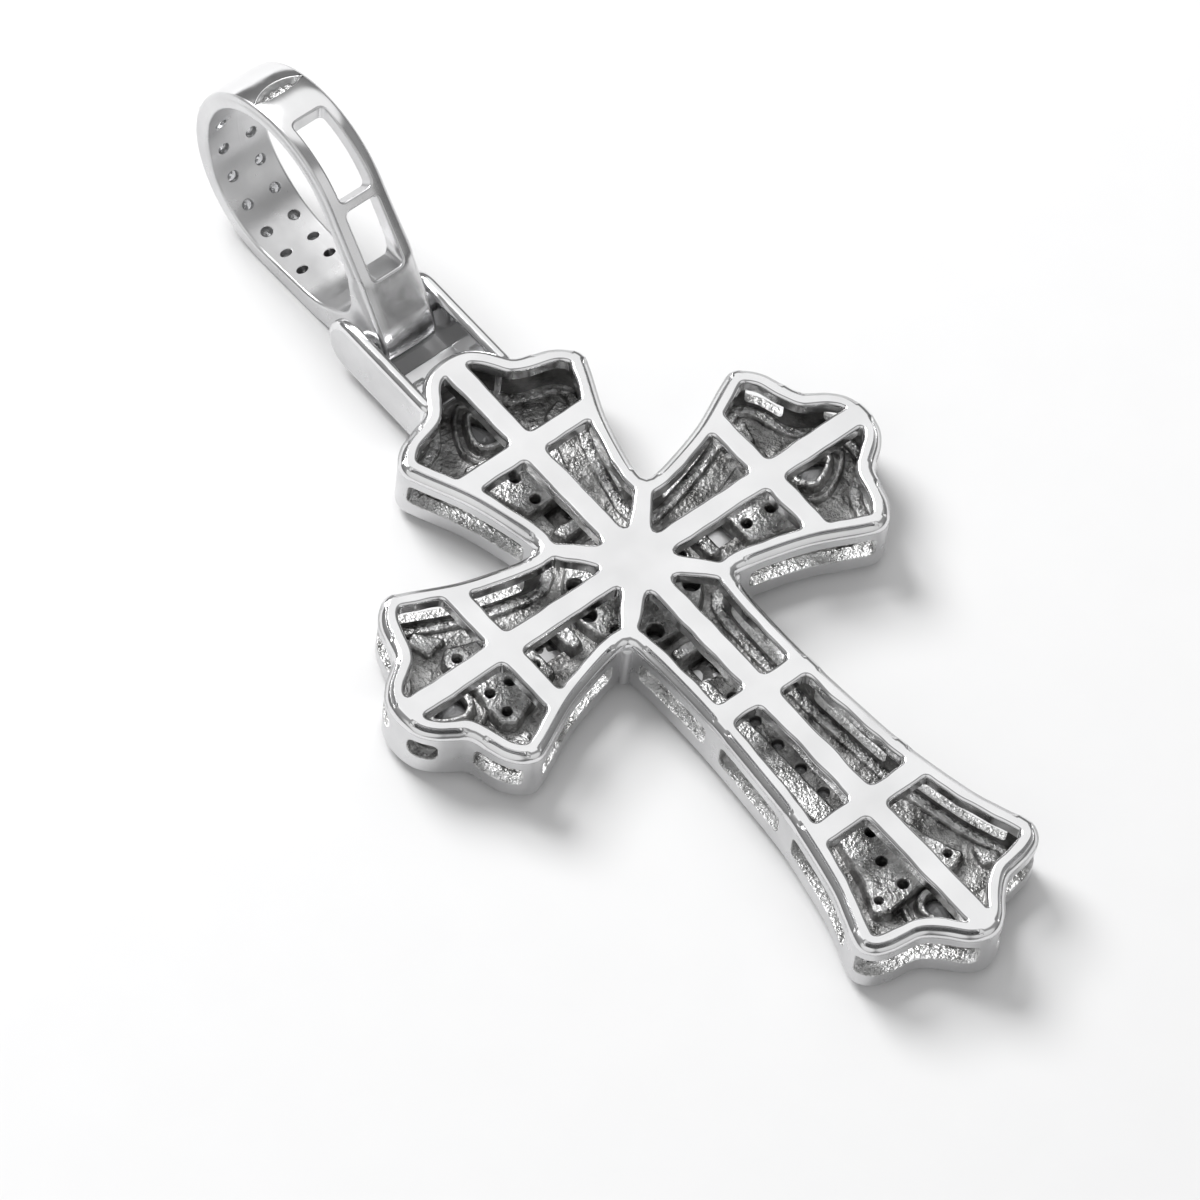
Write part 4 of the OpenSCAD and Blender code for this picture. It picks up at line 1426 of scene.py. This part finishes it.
makeCrossBeads(beadLook)
makeBailBeads(beadLook)
report("beads made")

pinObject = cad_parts["hinge_pin"]
pinObject.data.materials.clear()
pinObject.data.materials.append(satin)


# Floor, light and camera
studio = {
    "floor": (0.8, 0.8, 0.803), "tableHalf": 1.5, "paperRoughness": 0.9, "paperScale": 300, "paperDark": 0.99,
    # low and high brightness of the room, then the soft boxes as (direction, edge, brightness)
    "room": (0.16, 0.32),
    "boxes": [((0.36, 0.36, 0.861), (0.86, 0.93), 0.76), ((-0.8, -0.25, 0.545), (0.80, 0.9), 0.6),
              ((0.1, -0.85, 0.517), (0.84, 0.92), 0.5)],
    "key": 2.1, "keySize": 0.24, "keyPlace": (-0.02, 0.32, 0.32),
}


def makeStage(look):
    mesh = bpy.data.meshes.new("table_top")
    half = look["tableHalf"]
    corners = [(x, y, 0) for x, y in rectangle(-half, half, -half, half)]
    mesh.from_pydata(corners, [], [(0, 1, 2, 3)])
    floor = bpy.data.objects.new("table_top", mesh)
    scene.collection.objects.link(floor)
    material, nodes, links, shader = newMaterial("pale_paper")
    shader.inputs["Roughness"].default_value = look["paperRoughness"]
    grain = textureAt(nodes, links, "ShaderNodeTexNoise", look["paperScale"], 3)
    darker = tuple(c * look["paperDark"] for c in look["floor"])
    colour = shaded(nodes, links, grain.outputs["Fac"], darker, look["floor"])
    links.new(colour, shader.inputs["Base Color"])
    mesh.materials.append(material)


def makeSky(look):
    world = bpy.data.worlds.new("studio")
    scene.world = world
    world.use_nodes = True
    nodes, links = world.node_tree.nodes, world.node_tree.links
    coords = nodes.new("ShaderNodeTexCoord")
    split = nodes.new("ShaderNodeSeparateXYZ")
    links.new(coords.outputs["Generated"], split.inputs["Vector"])
    total = ranged(nodes, links, split.outputs["Z"], *look["room"], 0.0, 0.7)
    for axis, edge, bright in look["boxes"]:
        near = nodes.new("ShaderNodeVectorMath")
        near.operation = "DOT_PRODUCT"
        near.inputs[1].default_value = axis
        links.new(coords.outputs["Generated"], near.inputs[0])
        glow = nodes.new("ShaderNodeMapRange")
        glow.interpolation_type = "SMOOTHSTEP"
        glow.inputs["From Min"].default_value, glow.inputs["From Max"].default_value = edge
        glow.inputs["To Max"].default_value = bright
        links.new(near.outputs["Value"], glow.inputs["Value"])
        add = nodes.new("ShaderNodeMath")
        add.operation = "ADD"
        links.new(total, add.inputs[0])
        links.new(glow.outputs["Result"], add.inputs[1])
        total = add.outputs["Value"]
    links.new(total, nodes["Background"].inputs["Color"])
    nodes["Background"].inputs["Strength"].default_value = 1.0


def makeKey(look):
    light = bpy.data.lights.new("soft_key", "AREA")
    light.shape = "DISK"
    light.size = look["keySize"]
    light.energy = look["key"]
    lamp = bpy.data.objects.new("soft_key", light)
    scene.collection.objects.link(lamp)
    lamp.location = look["keyPlace"]
    lamp.rotation_euler = (-Vector(lamp.location)).to_track_quat("-Z", "Y").to_euler()


makeStage(studio)
makeSky(studio)
makeKey(studio)

cameraLook = {
    # place in millimetres from the crossing, and the view's three directions
    "place": (-156.955, -147.529, 328.599), "lens": 240,
    "right": (0.76519, -0.63957, 0.07374), "down": (-0.50708, -0.66929, -0.54306),
    "forward": (0.39668, 0.37815, -0.83645),
}


def makeCamera(look):
    data = bpy.data.cameras.new("camera")
    data.lens = look["lens"]
    data.sensor_width = 36
    data.clip_start, data.clip_end = 0.01, 10
    camera = bpy.data.objects.new("camera", data)
    scene.collection.objects.link(camera)
    right, down, forward = (Vector(look[k]) for k in ("right", "down", "forward"))
    turn = Matrix((right, -down, -forward)).transposed().to_4x4()
    camera.matrix_world = Matrix.Translation((Vector(look["place"]) + crossing) * mm) @ turn
    scene.camera = camera


makeCamera(cameraLook)
scene.view_settings.view_transform = "Standard"
scene.view_settings.look = "None"
report("studio made")

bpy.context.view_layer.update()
report("sizes written")
